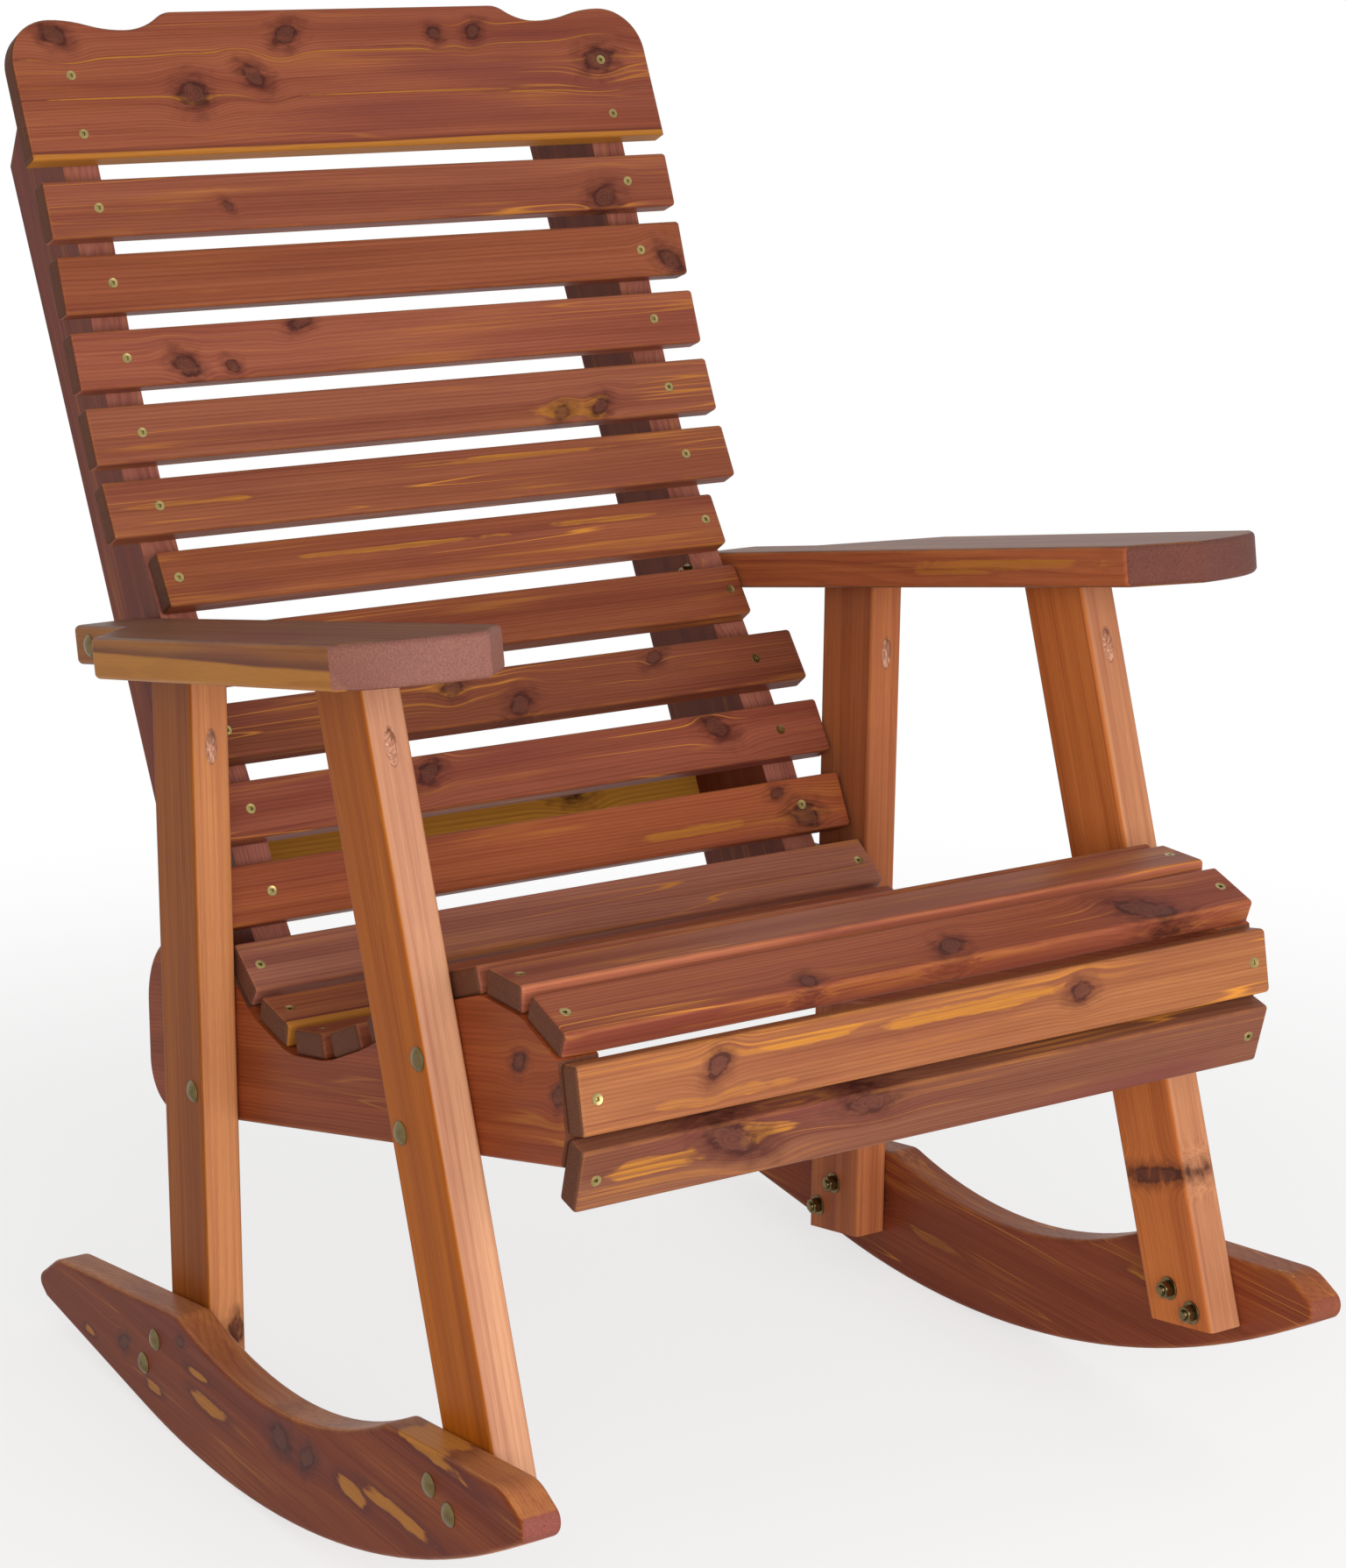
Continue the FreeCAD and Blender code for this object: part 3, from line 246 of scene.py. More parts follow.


# On the legs, stiles and rockers the paler edge tone is partly painted sheen and the darker tone
# partly painted shade.
BOARDS = {
    "crest_board": Board(
        "side", UPRIGHT - CREST_LEAN, (155, 87, 62),
        knots=((-262.9, 43.9, 8.5, 1.2), (-52.6, 39, 8.5, 1.2), (-149.2, -11, 10.5, 1.1),
               (-89.7, 3.2, 8.5, 1.2), (91.3, 37.3, 5.5, 1.1), (130.4, 38.4, 6.5, 1.1),
               (252, 9, 10, 1.4)),
        flames=((-200, 23, 0.9, 110), (-20, 24, 0.8, 160), (190, 27, 0.8, 150),
                (-190, -12, 0.9, 110), (60, -15, 0.8, 160), (220, -18, 0.8, 100)),
        sapwood=(0.0, -1.0, 0.0, 57.5), wander=5.0, gold=0.5, flush=0.6, streaky=0.35, ring=2.4,
        pith=(-86, -30, 0.012),
    ),
    **slats("back_slat_{:02d}", UPRIGHT, (
        (22.6, dict(
            knots=((227, -13.7, 9, 1.3), (-139.3, -4, 3.4, 1.2)), gold=0.8, flush=0.3)),
        (20.4, dict(
            tone=(152, 86, 58), knots=((283, -11.3, 9.5, 1.1),), flush=0.2, ring=3.4, gold=0.2,
            pith=(-62, -30, 0.006))),
        (22.4, dict(
            tone=(160, 92, 68), pith=(54, -30, 0.02),
            knots=((-203.3, -9.5, 8.5, 1.2), (-162.4, -12.8, 5, 1.2), (-91.2, 21, 6, 1.8)))),
        (26.0, dict(
            tone=(155, 92, 67), knots=((140, -15, 6, 1.3), (180, -12, 7, 1.2)),
            flames=((150, -12, 6, 7),), gold=0.7, ring=3.2)),
        (30.1, dict(
            tone=(156, 92, 64), flames=((-232, 0, 2.4, 26), (85, 13.2, 3, 30)), gold=1.0,
            pith=(-58, -20, 0.008))),
        (34.3, dict(
            tone=(158, 91, 60), flames=((-60, 6, 2.4, 40), (150, 10, 2.8, 20)), gold=1.2,
            flush=0.6, pith=(60, -24, 0.012))),
        (38.0, dict(tone=(138, 76, 50), gold=0.6, ring=2.4, pith=(62, -26, -0.02))),
        (38.6, dict(
            tone=(128, 71, 49), gold=0.7, flush=0.6,
            knots=((-44.9, 11, 8, 1.2), (12, -13.1, 8.5, 1.2), (154, 13.6, 6, 1.4)))),
        (33.6, dict(
            tone=(151, 84, 62), knots=((-90.7, 7.6, 8, 1.3), (191.7, 10.4, 9, 1.3)), gold=1.2,
            flush=0.6, pith=(-46, -22, 0.02))),
        (27.4, dict(
            tone=(166, 90, 56), knots=((255.4, -10.1, 10, 1.2), (232, 10, 5, 1.4)),
            flames=((140, -8, 4.5, 12),), gold=0.9, flush=0.6)),
    )),
    "back_brace": Board(
        "side", UPRIGHT - BRACE_LEAN, (202, 144, 56), knots=((101, 14, 10, 1.6),),
        gold=0.3, flush=0.1, ring=3.6,
    ),
    **slats("seat_slat_{}", 0.0, (
        (-35.0, dict(tone=(168, 108, 86), gold=0.9, flush=0.6, pith=(60, -30, 0.02))),
        (-11.0, dict(sapwood=(0.0, -1.0, 0.2, 20.0), wander=6.0)),
        (12.0, dict(tone=(142, 78, 52), pith=(-64, -34, 0.01))),
        (25.0, dict()),
        (31.0, dict(tone=(158, 92, 62), ring=3.4, pith=(60, -40, 0.01))),
        (31.0, dict(pith=(-58, -26, -0.02))),
        (21.0, dict(gold=0.8, knots=((-150, 6, 5.5, 1.4),))),
        (0.0, dict(
            tone=(155, 91, 66), edge_tone=(176, 104, 76), gold=0.7, flush=0.6,
            pith=(56, -32, 0.012))),
        (-18.8, dict(
            tone=(148, 82, 56), gold=0.8, flush=0.4, pith=(-64, -30, 0.012),
            knots=((27.4, -9.4, 8.5, 1.3), (206, -10, 11, 1.9), (-100, -16, 6, 1.2)))),
    )),
    "apron_slat_upper": Board(
        "side", -APRON_SLOPES[0], (162, 104, 65), gold=1.2, flush=0.3,
        knots=((123.3, 5.9, 6.5, 1.3), (-189.9, 6.2, 7, 1.2)),
        flames=((-120, 12, 5, 9), (-190, -14, 4, 14), (30, 10, 6, 14)),
    ),
    "apron_slat_lower": Board(
        "side", -APRON_SLOPES[1], (130, 82, 60), gold=0.9, flush=0.8, ring=2.4,
        knots=((-178, 10, 11, 1.9), (-66, 16, 8, 2.2)),
        flames=((-240, 2, 8, 5), (-150, 12, 5, 5)),
    ),
    "armrest_right": Board(
        "arm", ARM_DROP, (121, 85, 65), edge_tone=(160, 100, 40), end_tone=(136, 90, 81),
        sapwood=(0.0095, 0.866, -0.5, 54.6), wander=3.0, sawn_from=0.35, gold=0.3, flush=0.7,
        lines=0.2, ring=2.6, pith=(-110, -30, 0.008),
    ),
    "armrest_left": Board(
        "arm", ARM_DROP, (132, 84, 54), edge_tone=(186, 106, 65), end_tone=(104, 66, 60),
        edge_flames=((-125, 3, 4.4, 28), (-60, -3, 2.4, 20)), sawn_from=0.35, gold=0.5,
        flush=0.5, streaky=0.65, pith=(-100, -50, 0.008),
    ),
    "rear_leg_right": Board(
        "up", UPRIGHT, (155, 84, 24), edge_tone=(212, 143, 93),
        edge_knots=((-241.5, 8.3, 6.5, 1.6),), gold=0.2, flush=0.15, lines=0.14, ring=3.6,
    ),
    "rear_leg_left": Board(
        "up", UPRIGHT, (178, 106, 66), edge_tone=(194, 119, 76), gold=0.3, flush=0.3, lines=0.16,
        ring=3.4, pith=(70, -40, 0.006),
    ),
    "front_leg_right": Board(
        "up", FRONT_LEG_RISE, (178, 96, 20), edge_tone=(204, 150, 114), gold=0.2, flush=0.25,
        lines=0.14, ring=3.6, pith=(80, -30, 0.006),
    ),
    "front_leg_left": Board(
        "up", FRONT_LEG_RISE, (204, 118, 60), edge_tone=(196, 136, 96),
        knots=((-177, 2, 34, 0.18),), gold=0.2, flush=0.2, lines=0.16, ring=3.6,
        pith=(-70, -50, 0.008),
    ),
    "seat_rail_right": Board(
        "up", RAIL_RISE, (150, 74, 40), knots=((293, -22, 6, 1.4), (342, -1.3, 6, 1.3)),
        gold=0.3, flush=0.6, pith=(-90, 30, 0.008),
    ),
    "seat_rail_left": Board("up", RAIL_RISE, (170, 90, 56), gold=0.4, flush=0.4),
    "back_stile_right": Board(
        "up", STILE_RISE, (124, 54, 32), edge_tone=(170, 107, 90), gold=0.4, flush=0.4,
    ),
    "back_stile_left": Board(
        "up", STILE_RISE, (112, 53, 33), edge_tone=(166, 104, 86), gold=0.4, flush=0.4,
        pith=(70, -30, 0.006),
    ),
    "rocker_right": Board(
        "up", 0.0, (127, 58, 28), edge_tone=(182, 116, 69), end_tone=(140, 80, 70),
        knots=((-53.1, -9.6, 10, 1.3), (-97.2, -7.9, 8, 1.4), (125, 1.3, 4, 1.6),
               (237.8, -41.9, 6, 1.5)),
        flames=((309, -58.6, 4, 3), (96, -15.5, 3.6, 5), (72, -34.3, 6, 5), (181, -60, 4.5, 3),
                (-170, -4, 7, 3), (-236, 8.5, 6.5, 8), (-250, 76, 5, 20)),
        gold=0.3, flush=0.45, lines=0.28, streaky=0.15, pith=(80, -40, 0.006),
    ),
    "rocker_left": Board(
        "up", 0.0, (142, 72, 44), edge_tone=(160, 95, 58), end_tone=(140, 80, 62),
        flames=((60, -40, 5, 7), (-240, 30, 5, 8)), knots=((150, -20, 8, 1.4),), gold=0.8,
        flush=0.5, lines=0.28, pith=(-70, -40, 0.006),
    ),
}

# Mouth and direction of the drilled screw pockets, in millimetres, on the sitter's left.
POCKETS = {
    "rear_leg": ((317.875, 41.0, 571.5), (0.0, 0.342, 0.9397)),
    "front_leg": ((317.875, -254.7, 637.7), (0.0, 0.638, 0.770)),
}
POCKET_RADIUS = 4.55
KNOT_LEAN = 0.4
# A knot or flame reaches this far into the wood, in millimetres.
FIGURE_DEPTH = 400.0
# Distance, in radii, that stands for no knot or flame at all.
NOWHERE = 99.0
# Every board's noises start elsewhere, by its number in the table.
SEED_STEP, SEED_START = 3.7, 1.3
# Widths over which the sapwood fades in and over which its dark border does.
SAPWOOD_BLEND, BORDER_WIDTH = 1.2 * MM, 4.0 * MM
# Rings that a knot has in one of its radii.
KNOT_RINGS = 3.3
# A face turns into a sawn end over this much of its direction along the grain.
SAW_BLEND = 0.12
# Strength and depth of the plating's relief.
PLATING_RELIEF = (0.12, 0.05 * MM)
SCREW_ROUGHNESS, BOLT_ROUGHNESS = 0.26, 0.30


def board_axes(board):
    """Unit vectors along the grain, across the face and through the thickness, as columns.

    A board from side to side has its grain along X and is turned about X by its angle. A board
    of a side frame has its grain in the YZ plane, at its angle above +Y, and its thickness
    along X. An arm has its grain in that plane too, and its thickness upwards.
    """
    turn = math.radians(board.angle)
    along = (0.0, math.cos(turn), math.sin(turn))
    over = (0.0, -math.sin(turn), math.cos(turn))
    if board.run == "side":
        return Matrix(((1.0, 0.0, 0.0), along, over)).transposed()
    if board.run == "arm":
        return Matrix((along, (-1.0, 0.0, 0.0), over)).transposed()
    return Matrix((along, over, (1.0, 0.0, 0.0))).transposed()


# ---- node wiring


class Wiring:
    """Adds nodes to one tree and joins them. Every value is a number, a tuple or a socket."""

    def __init__(self, tree):
        self.tree = tree

    def own(self, kind):
        """The node of a kind that the tree came with."""
        return next(node for node in self.tree.nodes if node.type == kind)

    def add(self, kind, feeds=None, **options):
        node = self.tree.nodes.new(kind)
        for name, value in options.items():
            setattr(node, name, value)
        for socket, value in (feeds or {}).items():
            self.feed(node.inputs[socket], value)
        return node

    def feed(self, socket, value):
        if isinstance(value, bpy.types.NodeSocket):
            self.tree.links.new(value, socket)
        elif socket.type == "RGBA" and len(value) == 3:
            socket.default_value = (*value, 1.0)
        else:
            socket.default_value = value

    def number(self, operation, *values, clamp=False):
        feeds = dict(enumerate(values))
        return self.add("ShaderNodeMath", feeds, operation=operation, use_clamp=clamp).outputs[0]

    def plus(self, one, other):
        return self.number("ADD", one, other)

    def minus(self, one, other, clamp=False):
        return self.number("SUBTRACT", one, other, clamp=clamp)

    def times(self, value, *others, clamp=False):
        """The product from left to right, of which only the last step may be clamped."""
        for step, other in enumerate(others, 1):
            last = step == len(others)
            value = self.number("MULTIPLY", value, other, clamp=clamp and last)
        return value

    def ramp(self, value, slope, start):
        """The value times a slope, plus a start."""
        return self.number("MULTIPLY_ADD", value, slope, start)

    def size(self, value):
        """The value without its sign."""
        return self.number("ABSOLUTE", value)

    def ease(self, value, low, high):
        """0 at low, 1 at high, and smooth between them."""
        feeds = {"Value": value, "From Min": low, "From Max": high}
        node = self.add("ShaderNodeMapRange", feeds, interpolation_type="SMOOTHSTEP")
        return node.outputs["Result"]

    def vector(self, operation, *values, scale=None):
        node = self.add("ShaderNodeVectorMath", dict(enumerate(values)), operation=operation)
        if scale is not None:
            self.feed(node.inputs["Scale"], scale)
        scalar = operation in ("DOT_PRODUCT", "LENGTH")
        return node.outputs["Value" if scalar else "Vector"]

    def split(self, vector):
        """The three numbers of a vector."""
        return self.add("ShaderNodeSeparateXYZ", {0: vector}).outputs

    def joined(self, x=0.0, y=0.0, z=0.0):
        """The vector of three numbers."""
        return self.add("ShaderNodeCombineXYZ", {0: x, 1: y, 2: z}).outputs[0]

    def mix(self, share, below, above, blend="MIX"):
        feeds = {0: share, 6: below, 7: above}
        return self.add("ShaderNodeMix", feeds, data_type="RGBA", blend_type=blend).outputs[2]

    def tinted(self, colour, tint):
        """The colour times another."""
        return self.mix(1.0, colour, tint, "MULTIPLY")

    def noise(self, vector, stretch, detail=2.0, offset=(0.0, 0.0, 0.0), roughness=0.5):
        """Noise in 0 to 1 whose cells are 1/stretch metres long along each axis."""
        placed = self.vector("MULTIPLY_ADD", vector, stretch, offset)
        feeds = {"Vector": placed, "Scale": 1.0, "Detail": detail, "Roughness": roughness}
        return self.add("ShaderNodeTexNoise", feeds).outputs[0]

    def group(self, name, feeds):
        """One of the shared groups, placed here."""
        return self.add("ShaderNodeGroup", feeds, node_tree=shared_group(name))


def grain_round_knot(w, given):
    """Distance to a knot in its own radii, and the grain led round it.

    The place is divided by the knot's three radii and roughened with noise, which gives the
    distance. The grain's place moves away from the knot's middle by a bell curve of the distance.
    """
    offset = w.vector("SUBTRACT", given["Vector"], given["Centre"])
    lean = w.joined(y=w.times(w.split(offset)[0], given["Lean"]))
    scaled = w.vector("DIVIDE", w.vector("ADD", offset, lean), given["Radii"])
    rough = w.noise(given["Vector"], (90.0, 110.0, 110.0), 2.0, given["Centre"], 0.4)
    distance = w.times(w.vector("LENGTH", scaled), w.ramp(rough, 0.9, 0.55))
    wide = w.times(w.vector("LENGTH", scaled), 0.50)
    bell = w.number("EXPONENT", w.times(wide, wide, -1.0))
    push = w.vector("SCALE", w.vector("MULTIPLY", offset, given["Bend"]), scale=bell)
    return {
        "Vector": w.vector("SUBTRACT", given["Vector"], push),
        "Distance": w.number("MINIMUM", given["Distance"], distance),
    }


def sapwood_flame(w, given):
    """Distance to a long patch of sapwood in its own radii, with sides that wander.

    It is the cube root of the sum of the three cubed distances, so that the ends are blunt.
    """
    offset = w.vector("SUBTRACT", given["Vector"], given["Centre"])
    wander = w.noise(given["Vector"], (24.0, 90.0, 90.0), 3.0, given["Centre"], 0.6)
    scaled = w.vector("ABSOLUTE", w.vector("DIVIDE", offset, given["Radii"]))
    cubed = w.vector("MULTIPLY", w.vector("MULTIPLY", scaled, scaled), scaled)
    size = w.number("POWER", w.vector("DOT_PRODUCT", cubed, (1.0, 1.0, 1.0)), 1.0 / 3.0)
    distance = w.number("MAXIMUM", w.plus(size, w.ramp(wander, 1.6, -0.8)), 0.0)
    return {"Distance": w.number("MINIMUM", given["Distance"], distance)}


def ring_lines(w, given, figure):
    """Dark line at the end of each year's ring.

    The distance from the pith's line, plus slow noise, is counted in ring widths. Each ring
    darkens slowly and ends sharply, and a random number of its own makes it strong or faint.
    """
    along, across, through = w.split(w.vector("SUBTRACT", given["Grain"], given["Pith"]))
    sunk = w.minus(through, w.times(along, given["Pith Tilt"]))
    squares = w.plus(w.number("POWER", across, 2.0), w.number("POWER", sunk, 2.0))
    bent = w.ramp(figure("Grain", 1.5, 9.0), 0.016, w.number("SQRT", squares))
    widths = w.number("DIVIDE", bent, given["Ring Width"])
    count = w.plus(widths, w.times(figure("Grain", 6.0, 70.0), 0.8))
    within = w.number("FRACT", count)
    feeds = {"W": w.number("FLOOR", count)}
    each = w.add("ShaderNodeTexWhiteNoise", feeds, noise_dimensions="1D").outputs[0]
    return w.times(w.ease(within, 0.25, 0.93), w.ease(within, 1.0, 0.94), w.ramp(each, 0.6, 0.4))


def heartwood(w, given, figure, tone, ring, streaks):
    """The board's tone with broad bands, thin streaks, ring lines and purple flushes."""
    bands = w.ease(figure("Grain", 1.4, 44.0, 3.0), 0.38, 0.66)
    colour = w.mix(w.times(bands, 0.45), tone, w.tinted(tone, given["Dark Share"]))
    colour = w.mix(w.ease(streaks, 0.42, 0.75), colour, w.tinted(colour, (0.80, 0.72, 0.74)))
    latewood = w.tinted(tone, given["Latewood Share"])
    colour = w.mix(w.times(ring, given["Line Share"]), colour, latewood)
    flush = w.ease(figure("Grain", 3.0, 22.0, moved=(7.3, 1.9, 4.1)), 0.50, 0.74)
    return w.mix(w.times(flush, w.times(given["Flush"], 0.75)), colour, given["Flush Colour"])


def golden(w, given, figure, colour, lit):
    """Golden lines where a slow noise crosses its middle, and patches of golden fibres."""
    level = figure("Grain", 1.3, 42.0, moved=(2.7, 8.8, 5.5))
    line = w.ease(w.size(w.minus(level, 0.5)), 0.012, 0.0)
    where = w.ease(figure("Grain", 5.0, 16.0, 1.0, moved=(9.1, 3.2, 0.4)), 0.48, 0.62)
    drawn = w.times(line, where, given["Gold"], clamp=True)
    colour = w.mix(drawn, colour, given["Gold Colour"])
    patch = w.ease(figure("Grain", 4.0, 50.0, moved=(1.1, 6.4, 3.3)), 0.52, 0.72)
    glow = w.times(patch, lit, w.times(given["Gold"], 0.55), clamp=True)
    return w.mix(glow, colour, given["Gold Colour"])


def sapwood(w, given, figure, colour, ring, lit):
    """Pale wood beyond a plane and inside the flames, each with a dark border."""
    drift = w.times(w.minus(figure("Place", 4.0, 40.0, 3.0), 0.5), given["Wander"])
    beyond = w.plus(w.vector("DOT_PRODUCT", given["Place"], given["Sapwood Way"]), drift)
    past = w.minus(beyond, given["Sapwood From"])
    plane, plane_edge = w.ease(past, 0.0, SAPWOOD_BLEND), w.ease(past, -BORDER_WIDTH, 0.0)
    broken = w.minus(1.0, w.times(given["Streaky"], w.minus(1.0, lit)))
    flame = w.times(w.ease(given["Flame"], 1.0, 0.72), broken)
    flame_edge = w.times(w.ease(given["Flame"], 1.9, 1.0), w.minus(1.0, given["Streaky"]))
    pale = w.number("MAXIMUM", plane, flame)
    border = w.minus(w.number("MAXIMUM", plane_edge, flame_edge), pale, clamp=True)
    ringed = w.tinted(given["Sapwood Colour"], (0.66, 0.52, 0.40))
    wood = w.mix(w.times(ring, 0.45), given["Sapwood Colour"], ringed)
    colour = w.mix(w.times(border, 0.55), colour, given["Border Colour"])
    return w.mix(w.times(pale, 0.85), colour, wood)


def knots(w, given, figure, colour):
    """Knots with rings of their own, a dark outline and darker wood round them, and their cores."""
    cloud = w.ease(figure("Place", 60.0, 150.0, 3.0, 0.6), 0.30, 0.62)
    specks = figure("Place", 260.0, 420.0, 3.0, 0.6)
    near = w.plus(given["Knot"], w.ramp(specks, 0.5, -0.25))
    core = w.times(w.ease(near, 1.10, 0.72), w.ramp(cloud, 0.25, 0.60))
    turns = w.times(w.ease(w.number("FRACT", w.times(near, KNOT_RINGS)), 0.2, 0.95), 0.6)
    heart = w.mix(turns, given["Knot Colour"], given["Rim Colour"])
    halo = w.times(w.ease(near, 2.8, 0.8), w.ramp(cloud, 0.50, 0.20))
    outline = w.times(w.ease(near, 0.62, 0.92), w.ease(near, 1.30, 0.98))
    colour = w.mix(halo, colour, given["Rim Colour"])
    colour = w.mix(core, colour, heart)
    dark = w.tinted(given["Rim Colour"], (0.45, 0.48, 0.55))
    return w.mix(w.times(outline, w.ramp(cloud, 0.45, 0.15)), colour, dark), core


def rubbed(w, given, figure, colour, facing):
    """Paler wood on the rounded edges, in patches, and where it is: partly wear and partly painted
    sheen of the light that the roundovers catch.
    """
    through = w.size(facing)
    left = w.number("MAXIMUM", w.minus(1.0, w.times(through, through)), 0.0)
    rounded = w.ease(w.times(through, w.number("SQRT", left), 2.0), 0.45, 0.95)
    patchy = w.ease(figure("Place", 28.0, 28.0, 3.0), 0.34, 0.62)
    worn_and_sheen = w.times(rounded, patchy, given["Edge Wear"])
    return w.mix(worn_and_sheen, colour, w.mix(0.5, colour, given["Gold Colour"])), worn_and_sheen


def cedar_board(w, given):
    """Colour, roughness and relief of one cedar board.

    Rings, bands, streaks and fibres are noises stretched along the grain. Sapwood, knots, paler
    rounded edges with their painted sheen and sawn ends lie over them in that order, and edges
    and ends are found from the face's direction in the board's own axes. The edge tone of the
    narrow faces is partly painted sheen on the legs, stiles and rockers.
    """
    shift = w.joined(given["Seed"], given["Seed"], given["Seed"])

    def figure(where, along, across, detail=2.0, roughness=0.5, moved=None):
        """This board's noise, with cells 1/along metres long and 1/across metres wide."""
        offset = shift if moved is None else w.vector("ADD", shift, moved)
        return w.noise(given[where], (along, across, across), detail, offset, roughness)

    lengthwise, sideways, through = w.split(given["Facing"])
    # Narrow faces take the edge tone; on the legs, stiles and rockers it is partly painted sheen of
    # the lamp on the faces turned to it.
    on_edge = w.ease(w.size(sideways), 0.55, 0.85)
    tone = w.mix(on_edge, given["Tone"], given["Edge Tone"])
    ring = ring_lines(w, given, figure)
    streaks = figure("Grain", 3.2, 320.0, 4.0, 0.65)
    fibres = figure("Place", 70.0, 1900.0)
    lit = w.ease(figure("Grain", 6.0, 420.0), 0.40, 0.62)
    colour = heartwood(w, given, figure, tone, ring, streaks)
    colour = golden(w, given, figure, colour, lit)
    colour = sapwood(w, given, figure, colour, ring, lit)
    colour, core = knots(w, given, figure, colour)
    # Paler rounded edges: partly wear, partly painted sheen.
    colour, worn_and_sheen = rubbed(w, given, figure, colour, through)

    sawn_from = given["Sawn From"]
    sawn = w.ease(w.size(lengthwise), sawn_from, w.plus(sawn_from, SAW_BLEND))
    pores = w.ease(figure("Place", 900.0, 900.0), 0.35, 0.7)
    dark_ends = w.tinted(given["End Colour"], (0.72, 0.68, 0.68))
    ends = w.mix(pores, given["End Colour"], dark_ends)
    colour = w.mix(w.times(sawn, 0.9), colour, ends)
    grey = w.ramp(fibres, 0.30, 0.85)
    roughness = w.plus(given["Roughness"], w.ramp(streaks, 0.14, -0.07))
    raised = w.ramp(fibres, 0.35, w.times(core, 0.5))
    return {
        "Colour": w.tinted(colour, w.joined(grey, grey, grey)),
        "Roughness": w.plus(roughness, w.ramp(sawn, 0.22, w.times(worn_and_sheen, -0.06))),
        "Relief": w.plus(w.times(ring, 0.5), raised),
    }


def drilled_pocket(w, given):
    """1 inside a drilled pocket, nearer to its axis than its radius, and 1 on its rim, which
    carries torn fibres and painted shade of the hole's edge.
    """
    offset = w.vector("SUBTRACT", given["Vector"], given["Mouth"])
    away = w.vector("LENGTH", w.vector("CROSS_PRODUCT", offset, given["Way"]))
    radius = given["Radius"]
    rim = w.ease(w.size(w.minus(away, radius)), 0.7 * MM, 0.2 * MM)
    torn = w.noise(given["Vector"], (600.0, 600.0, 150.0))
    return {
        "Inside": w.ease(away, w.plus(radius, 0.15 * MM), w.minus(radius, 0.1 * MM)),
        "Rim": w.times(rim, w.ease(torn, 0.30, 0.55)),
        "Torn": torn,
    }


def zinc_plating(w, given):
    """Colour and roughness of yellow zinc: noise between the plating and its tarnish."""
    fine = w.noise(given["Vector"], (1400.0,) * 3, 3.0, roughness=0.6)
    slow = w.noise(given["Vector"], (120.0,) * 3, offset=(3.0,) * 3)
    spots = w.ease(w.plus(w.times(fine, 0.5), w.times(slow, 0.5)), 0.42, 0.66)
    return {
        "Colour": w.mix(w.times(spots, 0.55), given["Plating"], given["Tarnish"]),
        "Roughness": w.ramp(spots, 0.16, given["Roughness"]),
        "Relief": fine,
    }


# The function that builds each shared group, and its sockets for vectors, numbers and colours.
SHARED_GROUPS = {
    "grain_round_knot": (
        grain_round_knot, ("Vector", "Centre", "Radii", "Bend"), ("Lean", "Distance"), (),
    ),
    "sapwood_flame": (sapwood_flame, ("Vector", "Centre", "Radii"), ("Distance",), ()),
    "cedar_board": (
        cedar_board,
        ("Grain", "Place", "Facing", "Pith", "Sapwood Way"),
        ("Seed", "Pith Tilt", "Ring Width", "Line Share", "Flush", "Gold", "Sapwood From",
         "Wander", "Flame", "Streaky", "Knot", "Sawn From", "Edge Wear", "Roughness"),
        ("Tone", "Edge Tone", "Dark Share", "Latewood Share", "Flush Colour", "Gold Colour",
         "Sapwood Colour", "Border Colour", "Knot Colour", "Rim Colour", "End Colour"),
    ),
    "drilled_pocket": (drilled_pocket, ("Vector", "Mouth", "Way"), ("Radius",), ()),
    "zinc_plating": (zinc_plating, ("Vector",), ("Roughness",), ("Plating", "Tarnish")),
}


def shared_group(name):
    """The shader node group of that name, built when it is first asked for."""
    tree = bpy.data.node_groups.get(name)
    if tree:
        return tree
    tree = bpy.data.node_groups.new(name, "ShaderNodeTree")
    build, *sockets = SHARED_GROUPS[name]
    for kind, labels in zip(("Vector", "Float", "Color"), sockets):
        for label in labels:
            tree.interface.new_socket(name=label, in_out="INPUT", socket_type="NodeSocket" + kind)
    w = Wiring(tree)
    values = build(w, w.add("NodeGroupInput").outputs)
    for label, value in values.items():
        tree.interface.new_socket(name=label, in_out="OUTPUT", socket_type=value.bl_idname)
    w.add("NodeGroupOutput", values)
    return tree


def start_material(name):
    """A material, its wiring and its own shader."""
    material = bpy.data.materials.new(name)
    material.use_nodes = True
    wiring = Wiring(material.node_tree)
    return material, wiring, wiring.own("BSDF_PRINCIPLED")


def finish_surface(w, shader, colour, source, strength, distance):
    """Joins a colour and a group's roughness and relief to the shader."""
    feeds = {"Height": source.outputs["Relief"], "Strength": strength, "Distance": distance}
    relief = w.add("ShaderNodeBump", feeds)
    w.feed(shader.inputs["Base Color"], colour)
    w.feed(shader.inputs["Roughness"], source.outputs["Roughness"])
    w.feed(shader.inputs["Normal"], relief.outputs[0])


def placed_figures(faces, edges):
    """Centre and radii, in metres, and sideways direction of each knot or flame of a board."""
    deep = FIGURE_DEPTH * MM
    for x, y, half, times in faces:
        yield (x * MM, y * MM, 0.0), (half * times * MM, half * MM, deep), (0.0, 1.0, 0.0)
    for x, z, half, times in edges:
        yield (x * MM, 0.0, z * MM), (half * times * MM, deep, half * MM), (0.0, 0.0, 1.0)


